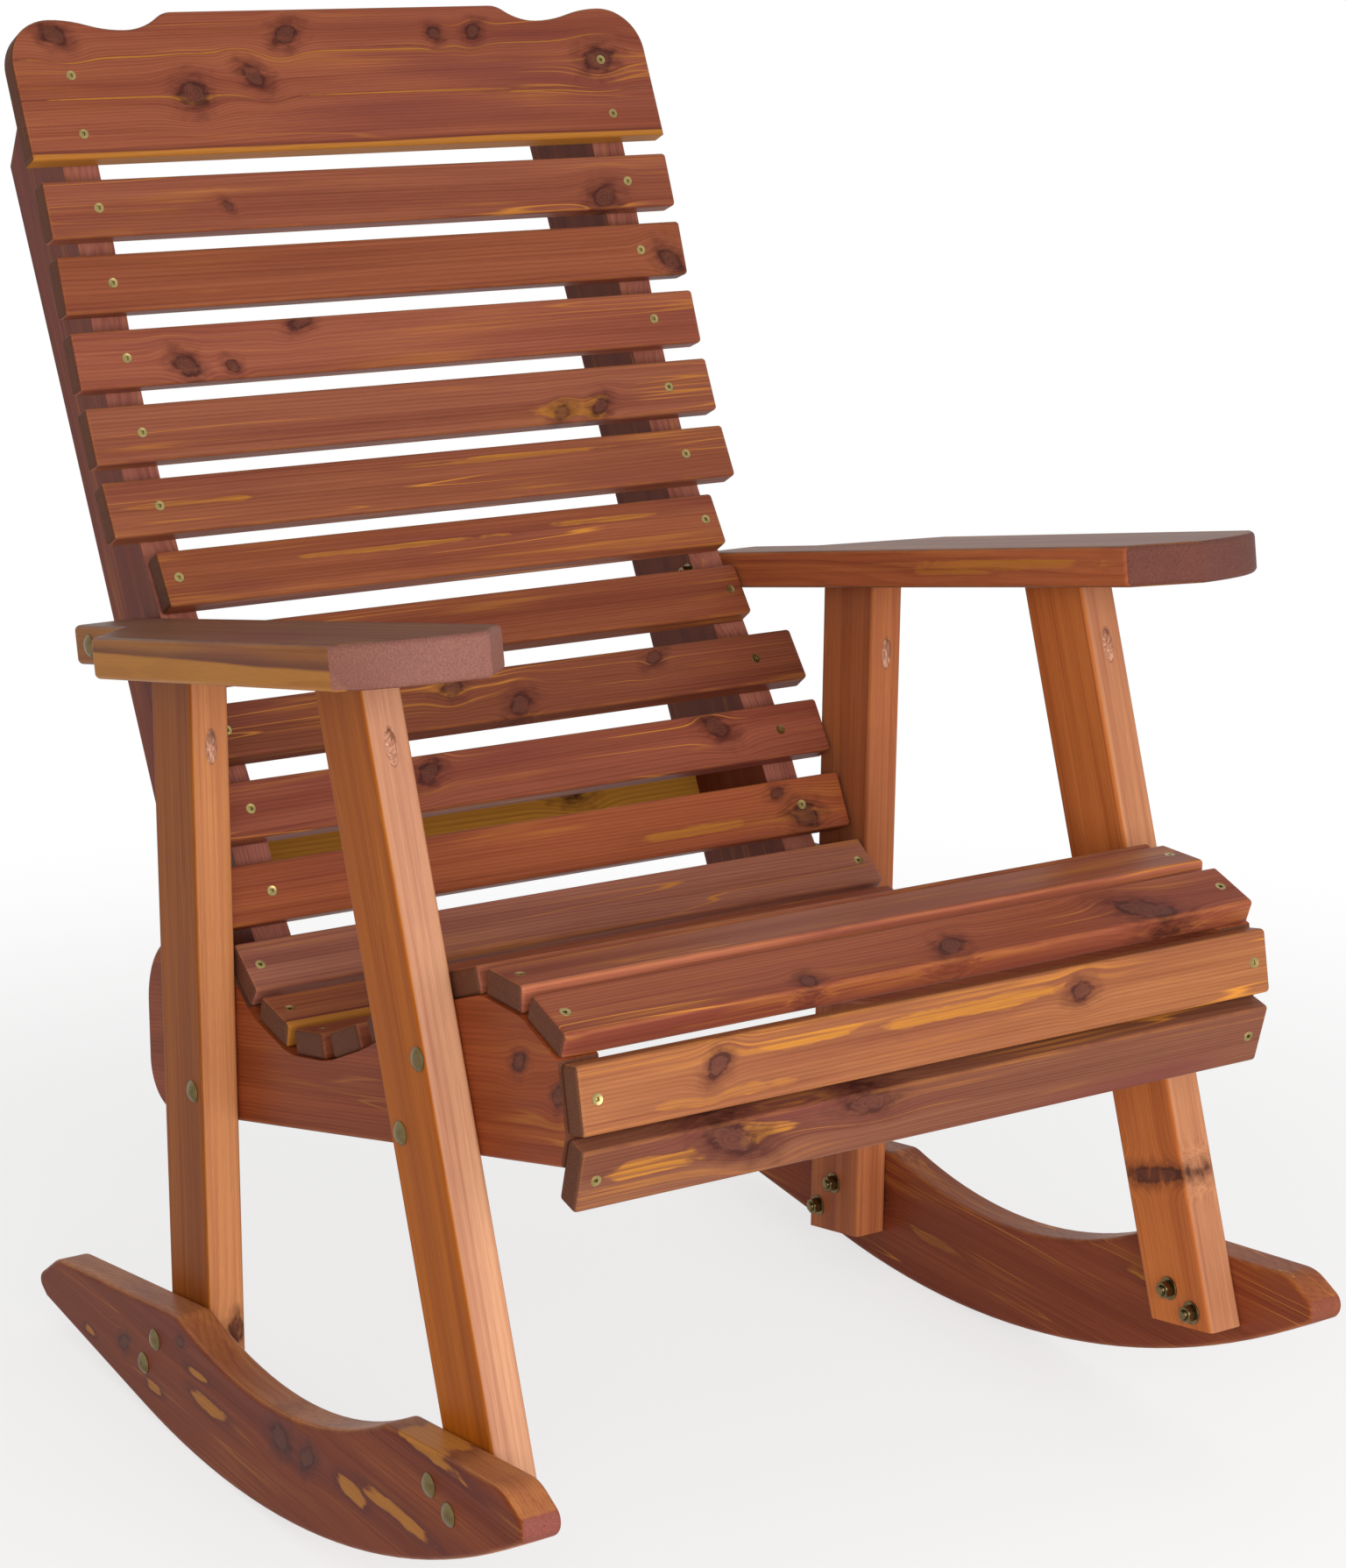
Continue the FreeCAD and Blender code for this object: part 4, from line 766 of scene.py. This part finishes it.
def grain_and_figures(w, board, place):
    """The grain led round every knot, and the distances to the nearest knot and flame."""
    grain, knot, flame = place, NOWHERE, NOWHERE
    leans = [KNOT_LEAN * math.sin(x + y) for x, y, _, _ in board.knots]
    leans += [0.0] * len(board.edge_knots)
    knots_here = placed_figures(board.knots, board.edge_knots)
    for (centre, radii, bend), lean in zip(knots_here, leans):
        bent = w.group("grain_round_knot", {
            "Vector": grain, "Centre": centre, "Radii": radii, "Bend": bend, "Lean": lean,
            "Distance": knot,
        })
        grain, knot = bent.outputs["Vector"], bent.outputs["Distance"]
    for centre, radii, _ in placed_figures(board.flames, board.edge_flames):
        feeds = {"Vector": grain, "Centre": centre, "Radii": radii, "Distance": flame}
        flame = w.group("sapwood_flame", feeds).outputs["Distance"]
    return grain, knot, flame


def with_pocket(w, node, source, colour):
    """The colour of a leg with the raw wood of its screw pocket, darkened by torn fibres and
    painted shade at the rim and inside. Other boards stay as they are.
    """
    cedar = settings("chair_cedar")
    for leg, (mouth, way) in POCKETS.items():
        if node.startswith(leg):
            side = 1.0 if node.endswith("left") else -1.0
            place = (side * mouth[0] * MM, mouth[1] * MM, mouth[2] * MM)
            pocket = w.group("drilled_pocket", {
                "Vector": source, "Mouth": place, "Way": way, "Radius": POCKET_RADIUS * MM,
            }).outputs
            # Dark streaks inside and the dark rim are partly torn wood and partly painted shade of
            # the hole.
            torn = w.times(w.ease(pocket["Torn"], 0.52, 0.74), 0.45)
            colour = w.mix(pocket["Inside"], colour, w.mix(torn, cedar.raw_wood, cedar.pocket_rim))
            colour = w.mix(w.times(pocket["Rim"], 0.55), colour, cedar.pocket_rim)
    return colour


def board_material(node, board, number):
    """The cedar of one board, in the board's own axes."""
    cedar, finish = settings("chair_cedar"), settings("chair_finish")
    material, w, shader = start_material("cedar_" + node)
    turn = board_axes(board).to_euler("XYZ")
    low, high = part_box(node)
    source = w.add("ShaderNodeTexCoord").outputs
    feeds = {"Vector": source["Object"], "Location": (low + high) / 2, "Rotation": turn}
    place = w.add("ShaderNodeMapping", feeds, vector_type="TEXTURE").outputs[0]
    feeds = {"Vector": source["Normal"], "Rotation": turn}
    facing = w.add("ShaderNodeMapping", feeds, vector_type="TEXTURE").outputs[0]
    grain, knot, flame = grain_and_figures(w, board, place)
    base = np.array(BOARD_BASE)
    across, through, tilt = board.pith
    end_colour = display_colour(*board.end_tone) if board.end_tone else cedar.end_grain
    wood = w.group("cedar_board", {
        "Grain": grain, "Place": place, "Facing": facing,
        "Seed": SEED_STEP * number + SEED_START,
        "Pith": (0.0, across * MM, through * MM), "Pith Tilt": tilt,
        "Ring Width": board.ring * MM, "Line Share": board.lines,
        "Tone": display_colour(*board.tone),
        "Edge Tone": display_colour(*(board.edge_tone or board.tone)),
        "Dark Share": np.array(cedar.dark_heart) / base,
        "Latewood Share": np.array(cedar.latewood) / base,
        "Flush": board.flush, "Flush Colour": cedar.flush,
        "Gold": board.gold, "Gold Colour": cedar.gold,
        "Sapwood Way": board.sapwood[:3], "Sapwood From": board.sapwood[3] * MM,
        "Wander": board.wander * MM, "Flame": flame, "Streaky": board.streaky,
        "Sapwood Colour": cedar.sapwood, "Border Colour": cedar.outline,
        "Knot": knot, "Knot Colour": cedar.knot, "Rim Colour": cedar.knot_rim,
        "End Colour": end_colour, "Sawn From": board.sawn_from,
        "Edge Wear": finish.edge_wear, "Roughness": finish.roughness,
    })
    colour = with_pocket(w, node, source["Object"], wood.outputs["Colour"])
    finish_surface(w, shader, colour, wood, finish.relief_strength, finish.relief)
    w.feed(shader.inputs["Specular IOR Level"], finish.sheen_level)
    w.feed(shader.inputs["Coat Weight"], finish.coat)
    w.feed(shader.inputs["Coat Roughness"], finish.coat_roughness)
    return material


def dress_boards(starts):
    """Gives every board whose name has one of these starts its own cedar."""
    for number, (node, board) in enumerate(BOARDS.items()):
        if node.startswith(starts):
            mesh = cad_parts[node].data
            mesh.materials.clear()
            mesh.materials.append(board_material(node, board, number))


def plating_material(name, plating, roughness):
    """Yellow zinc plating with a little tarnish."""
    material, w, shader = start_material(name)
    zinc = w.group("zinc_plating", {
        "Vector": w.add("ShaderNodeTexCoord").outputs["Object"], "Plating": plating,
        "Tarnish": settings("chair_plating").tarnish, "Roughness": roughness,
    })
    finish_surface(w, shader, zinc.outputs["Colour"], zinc, *PLATING_RELIEF)
    w.feed(shader.inputs["Metallic"], 1.0)
    return material


# ---- fasteners

SCREW_SIDES = 24
SCREW_SHANK = 1.9 * MM
SCREW_HEAD_DEPTH = 2.4 * MM
BOLT_SIDES = 32
RING_SIDES = 36
# Edges that turn by more than this, in degrees, are shaded sharp.
SHARP_FROM = 32.0
# Corners this near to the end of a solid belong to its end.
END_REACH = 0.05 * MM


def solids_of(node, count):
    """The corners of each solid of a node that holds several alike, as (solid, corner, 3)."""
    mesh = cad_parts[node].data
    places = np.empty(len(mesh.vertices) * 3, np.float32)
    mesh.vertices.foreach_get("co", places)
    places = places.reshape(-1, 3).astype(float)
    if len(places) % count:
        raise RuntimeError(f"{node} doesn't hold {count} solids alike")
    return places.reshape(count, -1, 3)


def end_middles(points, way):
    """Middles of the first and last ring of points along a direction, and the rings' reach."""
    along = points @ way
    ends = []
    for side in (along < along.min() + END_REACH, along > along.max() - END_REACH):
        ring = points[side]
        middle = (ring.min(0) + ring.max(0)) / 2
        ends.append((middle, np.linalg.norm(ring - middle, axis=1).max()))
    return ends


def screw_placements(node, count):
    """Middle of the head's top, direction from head to tip and length of every screw of a node.

    The direction is the longest axis of the corners, and the head is the end that reaches wider.
    """
    rows = []
    for points in solids_of(node, count):
        way = np.linalg.svd(points - points.mean(0), full_matrices=False)[2][0]
        (first, first_reach), (last, last_reach) = end_middles(points, way)
        head, tip = (first, last) if first_reach > last_reach else (last, first)
        length = np.linalg.norm(tip - head)
        rows.append((head, (tip - head) / length, length))
    return rows


def bolt_placements(node, count):
    """Outer middle, inward direction and length of every solid that lies across the chair."""
    rows = []
    for points in solids_of(node, count):
        low, high = points.min(0), points.max(0)
        side = 1.0 if low[0] + high[0] > 0 else -1.0
        outer = np.array([high[0] if side > 0 else low[0], *(low[1:] + high[1:]) / 2])
        rows.append((outer, np.array([-side, 0.0, 0.0]), high[0] - low[0]))
    return rows


def turn_angles(around):
    """Equal steps round a turn, in radians."""
    return np.arange(around) * (2 * math.pi / around)


def round_rows(profile, around):
    """Rows of points round an axis: radius times cosine, radius times sine, and height.

    profile holds (height, radius) rows, and a radius may be one number or one for each angle.
    """
    angles = turn_angles(around)
    heights = np.array([row[0] for row in profile], float)
    radii = np.stack([np.broadcast_to(np.asarray(row[1], float), around) for row in profile])
    heights = np.repeat(heights[:, None], around, 1)
    return np.stack([radii * np.cos(angles), radii * np.sin(angles), heights], axis=-1)


def row_faces(rows, around, closed):
    """Quads between neighbouring rows, and between the last row and the first if closed."""
    last = rows if closed else rows - 1
    here = np.arange(last)[:, None] * around
    there = (np.arange(last)[:, None] + 1) % rows * around
    step = np.arange(around)[None]
    turn = (step + 1) % around
    quads = np.stack([here + step, there + step, there + turn, here + turn], axis=-1)
    return quads.reshape(-1, 4).tolist()


def turned_solid(profile, around, closed=False):
    """Corners and faces of a turned shape. An open profile starts and ends on the axis."""
    corners = round_rows(profile, around).reshape(-1, 3)
    faces = row_faces(len(profile), around, closed)
    if closed:
        return corners, faces
    count = len(corners)
    middles = [[0.0, 0.0, profile[0][0]], [0.0, 0.0, profile[-1][0]]]
    corners = np.concatenate([corners, middles])
    step = np.arange(around)
    turn = (step + 1) % around
    base = (len(profile) - 1) * around
    start = np.stack([np.full(around, count), step, turn], axis=-1)
    end = np.stack([np.full(around, count + 1), base + turn, base + step], axis=-1)
    return corners, faces + start.tolist() + end.tolist()


def placed_copies(shape, placements):
    """One mesh of all copies: each corner's numbers go along two side axes and the way in."""
    corners, faces = shape
    all_corners, all_faces = [], []
    for number, (origin, way, _) in enumerate(placements):
        lies_across = abs(way[0]) >= 0.9
        side = np.array([0.0, 1.0, 0.0]) if lies_across else np.cross(way, (1.0, 0.0, 0.0))
        side = side / np.linalg.norm(side)
        up = np.cross(way, side)
        all_corners.append(origin + corners @ np.stack([side, up, way]))
        shift = number * len(corners)
        all_faces.extend(tuple(index + shift for index in face) for face in faces)
    return np.concatenate(all_corners), all_faces


def linked(name, data):
    """A new object in the scene."""
    made = bpy.data.objects.new(name, data)
    bpy.context.scene.collection.objects.link(made)
    return made


def add_piece(node, shape, material):
    """A piece that stands for a CAD node, shaded smooth up to its sharp edges."""
    corners, faces = shape
    mesh = bpy.data.meshes.new(node + "_made")
    mesh.from_pydata(corners.tolist(), [], faces)
    mesh.validate()
    mesh.materials.append(material)
    mesh.shade_smooth()
    mesh.set_sharp_from_angle(angle=math.radians(SHARP_FROM))
    piece = linked(node + "_made", mesh)
    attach(piece, "root")
    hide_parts(node)


def square_radius(half, around):
    """Distance from the middle to a square's side at each angle."""
    angles = turn_angles(around)
    return half / np.maximum(np.abs(np.cos(angles)), np.abs(np.sin(angles)))


def hexagon_radius(half, around):
    """Distance from the middle to a hexagon's side at each angle, with a flat at angle 0."""
    sixth = math.pi / 3
    return half / np.cos((turn_angles(around) + sixth / 2) % sixth - sixth / 2)


def thread_rows(start, end, core, height, pitch, around, steps):
    """Rows of a helical thread.

    The radius swells where the height in pitches equals the angle in turns, and the swell fades
    over one pitch at both ends.
    """
    angles = turn_angles(around)
    rows = []
    for at in np.arange(start, end, pitch / steps):
        swell = (0.5 + 0.5 * np.cos(2 * math.pi * at / pitch - angles)) ** 1.5
        fade = min(1.0, (at - start) / pitch, (end - at) / pitch)
        rows.append((at, core + height * max(fade, 0.0) * swell))
    return rows


def screw(length, thread_from, head_rows):
    """A screw: square recess, the rows of its head and neck, thread and point.

    head_rows(square) gives the rows from the radii of the recess, and thread_from is the share
    of the length at which the thread starts.
    """
    sizes = settings("chair_fasteners")
    square = square_radius(sizes.recess_across / 2, SCREW_SIDES)
    depth, height = sizes.recess_depth, sizes.screw_thread
    core = SCREW_SHANK - height
    profile = [(depth, square * 0.2), (depth, square * 0.84), *head_rows(square)]
    profile.append((length * (thread_from - 0.01), core))
    thread_end = length - 2.0 * MM
    profile += thread_rows(
        length * thread_from, thread_end, core, height, sizes.screw_pitch, SCREW_SIDES, 3
    )
    profile += [(length - 1.6 * MM, core * 0.8), (length - 0.2 * MM, core * 0.15)]
    return turned_solid(profile, SCREW_SIDES)


def countersunk_screw(length, head=4.3 * MM, depth=SCREW_HEAD_DEPTH):
    """A countersunk screw, whose head is a flat lip round the recess and a cone."""
    lip, neck = settings("chair_fasteners").head_lip, SCREW_SHANK * 0.92
    return screw(length, 0.34, lambda square: [
        (0.30 * MM, square * 0.97), (0.16 * MM, square * 1.08), (0.14 * MM, head - 3.0 * lip),
        (0.02 * MM, head - 1.6 * lip), (0.0, head - 0.6 * lip), (0.12 * MM, head - 0.05 * MM),
        (depth * 0.55, (head + SCREW_SHANK) / 2), (depth, SCREW_SHANK), (depth + 1.0 * MM, neck),
        (length * 0.32, neck),
    ])


def pan_screw(length, head=3.8 * MM, depth=SCREW_HEAD_DEPTH):
    """A pocket screw, whose domed head has a flat seat."""
    return screw(length, 0.27, lambda square: [
        (0.12 * MM, square * 0.98), (0.02 * MM, square * 1.1), (0.25 * MM, head * 0.70),
        (0.75 * MM, head * 0.92), (1.4 * MM, head), (depth, head * 0.99),
        (depth + 0.01 * MM, SCREW_SHANK), (length * 0.25, SCREW_SHANK * 0.95),
    ])


def carriage_bolt(length, head=9.0 * MM, rise=4.2 * MM, shank=4.0 * MM):
    """A domed bolt: a ball's cap, a short straight edge, the shank and its thread.

    At radius r the cap lies below its top by the ball's radius less the root of that radius
    squared less r squared.
    """
    sizes = settings("chair_fasteners")
    cap = rise - sizes.head_edge
    ball = (head**2 + cap**2) / (2 * cap)
    radii = head * np.array([0.06, 0.2, 0.36, 0.52, 0.66, 0.78, 0.88, 0.95, 0.985, 1.0])
    start, core = length - sizes.bolt_threaded, shank - sizes.bolt_thread
    profile = [*zip(ball - np.sqrt(ball**2 - radii**2), radii)]
    profile += [(rise - 0.08 * MM, head), (rise, head - 0.1 * MM), (rise + 0.01 * MM, shank)]
    profile += [(start - 0.4 * MM, shank)]
    profile += thread_rows(
        start, length - 1.0 * MM, core, sizes.bolt_thread, sizes.bolt_pitch, BOLT_SIDES, 4
    )
    profile += [(length - 0.5 * MM, core), (length, core - 0.6 * MM)]
    return turned_solid(profile, BOLT_SIDES)


def flat_washer(thickness, outer=9.5 * MM, inner=4.4 * MM):
    """A washer: a rectangle with eased corners carried round the axis."""
    ease = settings("chair_fasteners").easing
    profile = [
        (0.0, inner + ease), (0.0, outer - ease), (ease, outer), (thickness - ease, outer),
        (thickness, outer - ease), (thickness, inner + ease), (thickness - ease, inner),
        (ease, inner),
    ]
    return turned_solid(profile[::-1], RING_SIDES, closed=True)


def hexagon_nut(thickness, across=12.7 * MM, inner=4.05 * MM, bevel=0.9 * MM, mouth=0.5 * MM):
    """A nut: a hexagon cut by a cone at both ends, round a bore with bevelled mouths."""
    hexagon = hexagon_radius(across / 2, RING_SIDES)
    round_edge = np.minimum(hexagon, across / 2 * 0.98)
    halfway = np.minimum(hexagon, across / 2 * 1.08)
    profile = [
        (0.0, inner + mouth), (0.0, round_edge), (bevel * 0.5, halfway), (bevel, hexagon),
        (thickness - bevel, hexagon), (thickness - bevel * 0.5, halfway),
        (thickness, round_edge), (thickness, inner + mouth), (thickness - mouth, inner),
        (mouth, inner),
    ]
    return turned_solid(profile[::-1], RING_SIDES, closed=True)


SCREW_NODES = {
    "crest_board_screws": 4, "back_slat_screws": 20, "seat_slat_screws": 18,
    "apron_slat_screws": 4, "back_brace_screws": 4,
}
POCKET_SCREW_NODES = {"armrest_screws": 4}
BOLTS_IN_SET = {"rocker_bolt": 8, "seat_rail_bolt": 4, "back_stile_bolt": 4}


def add_fasteners(nodes, placements_of, shape_of, material):
    """Pieces of like fasteners, one for each CAD node that holds them."""
    for node, count in nodes.items():
        placements = placements_of(node, count)
        length = float(np.mean([row[2] for row in placements]))
        add_piece(node, placed_copies(shape_of(length), placements), material)


# ---- stage

CAMERA_PLACE = (-1.4252, -2.3608, 1.2530)
CAMERA_ROWS = (
    (0.84359189, -0.53688764, 0.01021696),
    (-0.14528617, -0.24651711, -0.95818643),
    (0.51695711, 0.80683392, -0.28596218),
)
CAMERA_LENS = 81.06
CAMERA_SHIFT = (-0.0070, 0.0593)
# Width of the camera's sensor, in millimetres, and its farthest sight, in metres.
SENSOR_WIDTH, SIGHT = 36.0, 100.0
KEY_AIM = (0.0, -0.1, 0.5)
WHITE = (1.0, 1.0, 1.0)
# The floor lies this far below the runners, in metres, and turns white between two distances.
FLOOR_DROP = 0.0003
WHITE_FROM, WHITE_AT = 0.7, 1.8


def seen_directly(w):
    """1 for the camera's own rays and for what it sees in gloss or through glass."""
    path = w.add("ShaderNodeLightPath").outputs
    seen = w.number("MAXIMUM", path["Is Camera Ray"], path["Is Glossy Ray"])
    return w.number("MAXIMUM", seen, path["Is Transmission Ray"])


def add_floor():
    """A square floor that shows the chair's shadow and turns white away from it."""
    stage = settings("chair_stage")
    reach = stage.floor_half
    mesh = bpy.data.meshes.new("floor")
    corners = [(-reach, -reach, 0), (reach, -reach, 0), (reach, reach, 0), (-reach, reach, 0)]
    mesh.from_pydata(corners, [], [(0, 1, 2, 3)])
    floor = linked("floor", mesh)
    floor.location.z = -FLOOR_DROP
    material, w, shader = start_material("pale_floor")
    w.feed(shader.inputs["Base Color"], stage.floor)
    w.feed(shader.inputs["Roughness"], 1.0)
    w.feed(shader.inputs["Specular IOR Level"], 0.0)
    white = w.add("ShaderNodeEmission", {"Color": WHITE, "Strength": 1.0})
    away = w.vector("LENGTH", w.add("ShaderNodeTexCoord").outputs["Object"])
    far = w.ease(away, WHITE_FROM, WHITE_AT)
    keep = w.times(w.minus(1.0, far), stage.shadow_share)
    share = w.times(seen_directly(w), w.minus(1.0, keep))
    mixed = w.add("ShaderNodeMixShader", {0: share, 1: shader.outputs[0], 2: white.outputs[0]})
    w.feed(w.own("OUTPUT_MATERIAL").inputs["Surface"], mixed.outputs[0])
    mesh.materials.append(material)


def add_lights():
    """A soft box in front and an even sky, whose own colour shows white to the camera."""
    stage = settings("chair_stage")
    lamp = bpy.data.lights.new("key_lamp", "AREA")
    lamp.energy = stage.key
    lamp.shape = "RECTANGLE"
    lamp.size = stage.key_width
    lamp.size_y = stage.key_height
    key = linked("key_lamp", lamp)
    key.location = stage.key_place
    towards = Vector(KEY_AIM) - Vector(stage.key_place)
    key.rotation_euler = towards.to_track_quat("-Z", "Y").to_euler()
    key.visible_camera = False
    world = bpy.data.worlds.new("soft_sky")
    world.use_nodes = True
    bpy.context.scene.world = world
    w = Wiring(world.node_tree)
    background = w.own("BACKGROUND")
    w.feed(background.inputs["Color"], WHITE)
    strength = w.ramp(seen_directly(w), 1.0 - stage.sky, stage.sky)
    w.feed(background.inputs["Strength"], strength)


def add_camera():
    """The camera at the photograph's place: its rows point right, down and forwards."""
    right, down, forward = (np.array(row) for row in CAMERA_ROWS)
    turn = Matrix(np.stack([right, -down, -forward], axis=1).tolist()).to_4x4()
    data = bpy.data.cameras.new("camera")
    data.lens = CAMERA_LENS
    data.sensor_width = SENSOR_WIDTH
    data.sensor_fit = "AUTO"
    data.shift_x, data.shift_y = CAMERA_SHIFT
    data.clip_end = SIGHT
    camera = linked("camera", data)
    camera.matrix_world = Matrix.Translation(CAMERA_PLACE) @ turn
    bpy.context.scene.camera = camera


# ---- operators


class DressBoards:
    """What the board operators share: each gives its own boards their cedar"""

    starts = ()

    def execute(self, context):
        dress_boards(self.starts)
        return {"FINISHED"}


class CHAIR_OT_back(DressBoards, bpy.types.Operator):
    """Give the crest board, the back slats and the brace their cedar"""

    bl_idname = "chair.back"
    bl_label = "Back boards"

    starts = ("crest_board", "back_slat", "back_brace")


class CHAIR_OT_seat(DressBoards, bpy.types.Operator):
    """Give the seat slats and apron slats their cedar"""

    bl_idname = "chair.seat"
    bl_label = "Seat boards"

    starts = ("seat_slat", "apron_slat")


class CHAIR_OT_arms(DressBoards, bpy.types.Operator):
    """Give the armrests their cedar"""

    bl_idname = "chair.arms"
    bl_label = "Armrests"

    starts = ("armrest",)


class CHAIR_OT_legs(DressBoards, bpy.types.Operator):
    """Give the four legs their cedar and raw wood in their screw pockets"""

    bl_idname = "chair.legs"
    bl_label = "Legs"

    starts = ("rear_leg", "front_leg")


class CHAIR_OT_sides(DressBoards, bpy.types.Operator):
    """Give the seat rails and back stiles their cedar"""

    bl_idname = "chair.sides"
    bl_label = "Rails and stiles"

    starts = ("seat_rail", "back_stile")


class CHAIR_OT_rockers(DressBoards, bpy.types.Operator):
    """Give the two rockers their cedar"""

    bl_idname = "chair.rockers"
    bl_label = "Rockers"

    starts = ("rocker",)


class CHAIR_OT_screws(bpy.types.Operator):
    """Make the countersunk slat screws and the pan-head pocket screws"""

    bl_idname = "chair.screws"
    bl_label = "Screws"

    def execute(self, context):
        slot = "yellow_zinc_screw"
        plating = settings("chair_plating").screw_plating
        zinc = plating_material(slot, plating, SCREW_ROUGHNESS)
        add_fasteners(SCREW_NODES, screw_placements, countersunk_screw, zinc)
        add_fasteners(POCKET_SCREW_NODES, screw_placements, pan_screw, zinc)
        return {"FINISHED"}


class CHAIR_OT_bolts(bpy.types.Operator):
    """Make the domed bolts, their washers and their nuts"""

    bl_idname = "chair.bolts"
    bl_label = "Bolts"

    def execute(self, context):
        slot = "plated_bolt"
        plating = settings("chair_plating").bolt_plating
        zinc = plating_material(slot, plating, BOLT_ROUGHNESS)
        shapes = {"s": carriage_bolt, "_washers": flat_washer, "_nuts": hexagon_nut}
        for ending, shape_of in shapes.items():
            nodes = {name + ending: count for name, count in BOLTS_IN_SET.items()}
            add_fasteners(nodes, bolt_placements, shape_of, zinc)
        return {"FINISHED"}


class CHAIR_OT_stage(bpy.types.Operator):
    """Make the floor, the lamp, the sky and the camera"""

    bl_idname = "chair.stage"
    bl_label = "Stage"

    def execute(self, context):
        add_floor()
        add_lights()
        add_camera()
        context.scene.view_settings.view_transform = "Standard"
        return {"FINISHED"}


OPERATORS = (
    CHAIR_OT_back, CHAIR_OT_seat, CHAIR_OT_arms, CHAIR_OT_legs, CHAIR_OT_sides,
    CHAIR_OT_rockers, CHAIR_OT_screws, CHAIR_OT_bolts, CHAIR_OT_stage,
)


class CHAIR_PT_panel(bpy.types.Panel):
    """Lists the steps that make the chair's looks"""

    bl_idname = "CHAIR_PT_panel"
    bl_label = "Rocking Chair"
    bl_space_type = "VIEW_3D"
    bl_region_type = "UI"
    bl_category = "Rocking Chair"

    def draw(self, context):
        for operator in OPERATORS:
            self.layout.operator(operator.bl_idname)
        for name, group in SETTINGS.items():
            box = self.layout.box()
            box.label(text=group.__doc__)
            for field in group.__annotations__:
                box.prop(getattr(context.scene, name), field)


def register():
    for group in SETTINGS.values():
        bpy.utils.register_class(group)
    for name, group in SETTINGS.items():
        setattr(bpy.types.Scene, name, bpy.props.PointerProperty(type=group))
    for kind in (*OPERATORS, CHAIR_PT_panel):
        bpy.utils.register_class(kind)


def unregister():
    for kind in (CHAIR_PT_panel, *reversed(OPERATORS)):
        bpy.utils.unregister_class(kind)
    for name in SETTINGS:
        delattr(bpy.types.Scene, name)
    for group in reversed(list(SETTINGS.values())):
        bpy.utils.unregister_class(group)


def main():
    register()
    bpy.ops.chair.back()
    bpy.ops.chair.seat()
    bpy.ops.chair.arms()
    bpy.ops.chair.legs()
    bpy.ops.chair.sides()
    bpy.ops.chair.rockers()
    bpy.ops.chair.screws()
    bpy.ops.chair.bolts()
    bpy.ops.chair.stage()


if __name__ == "__main__":
    main()
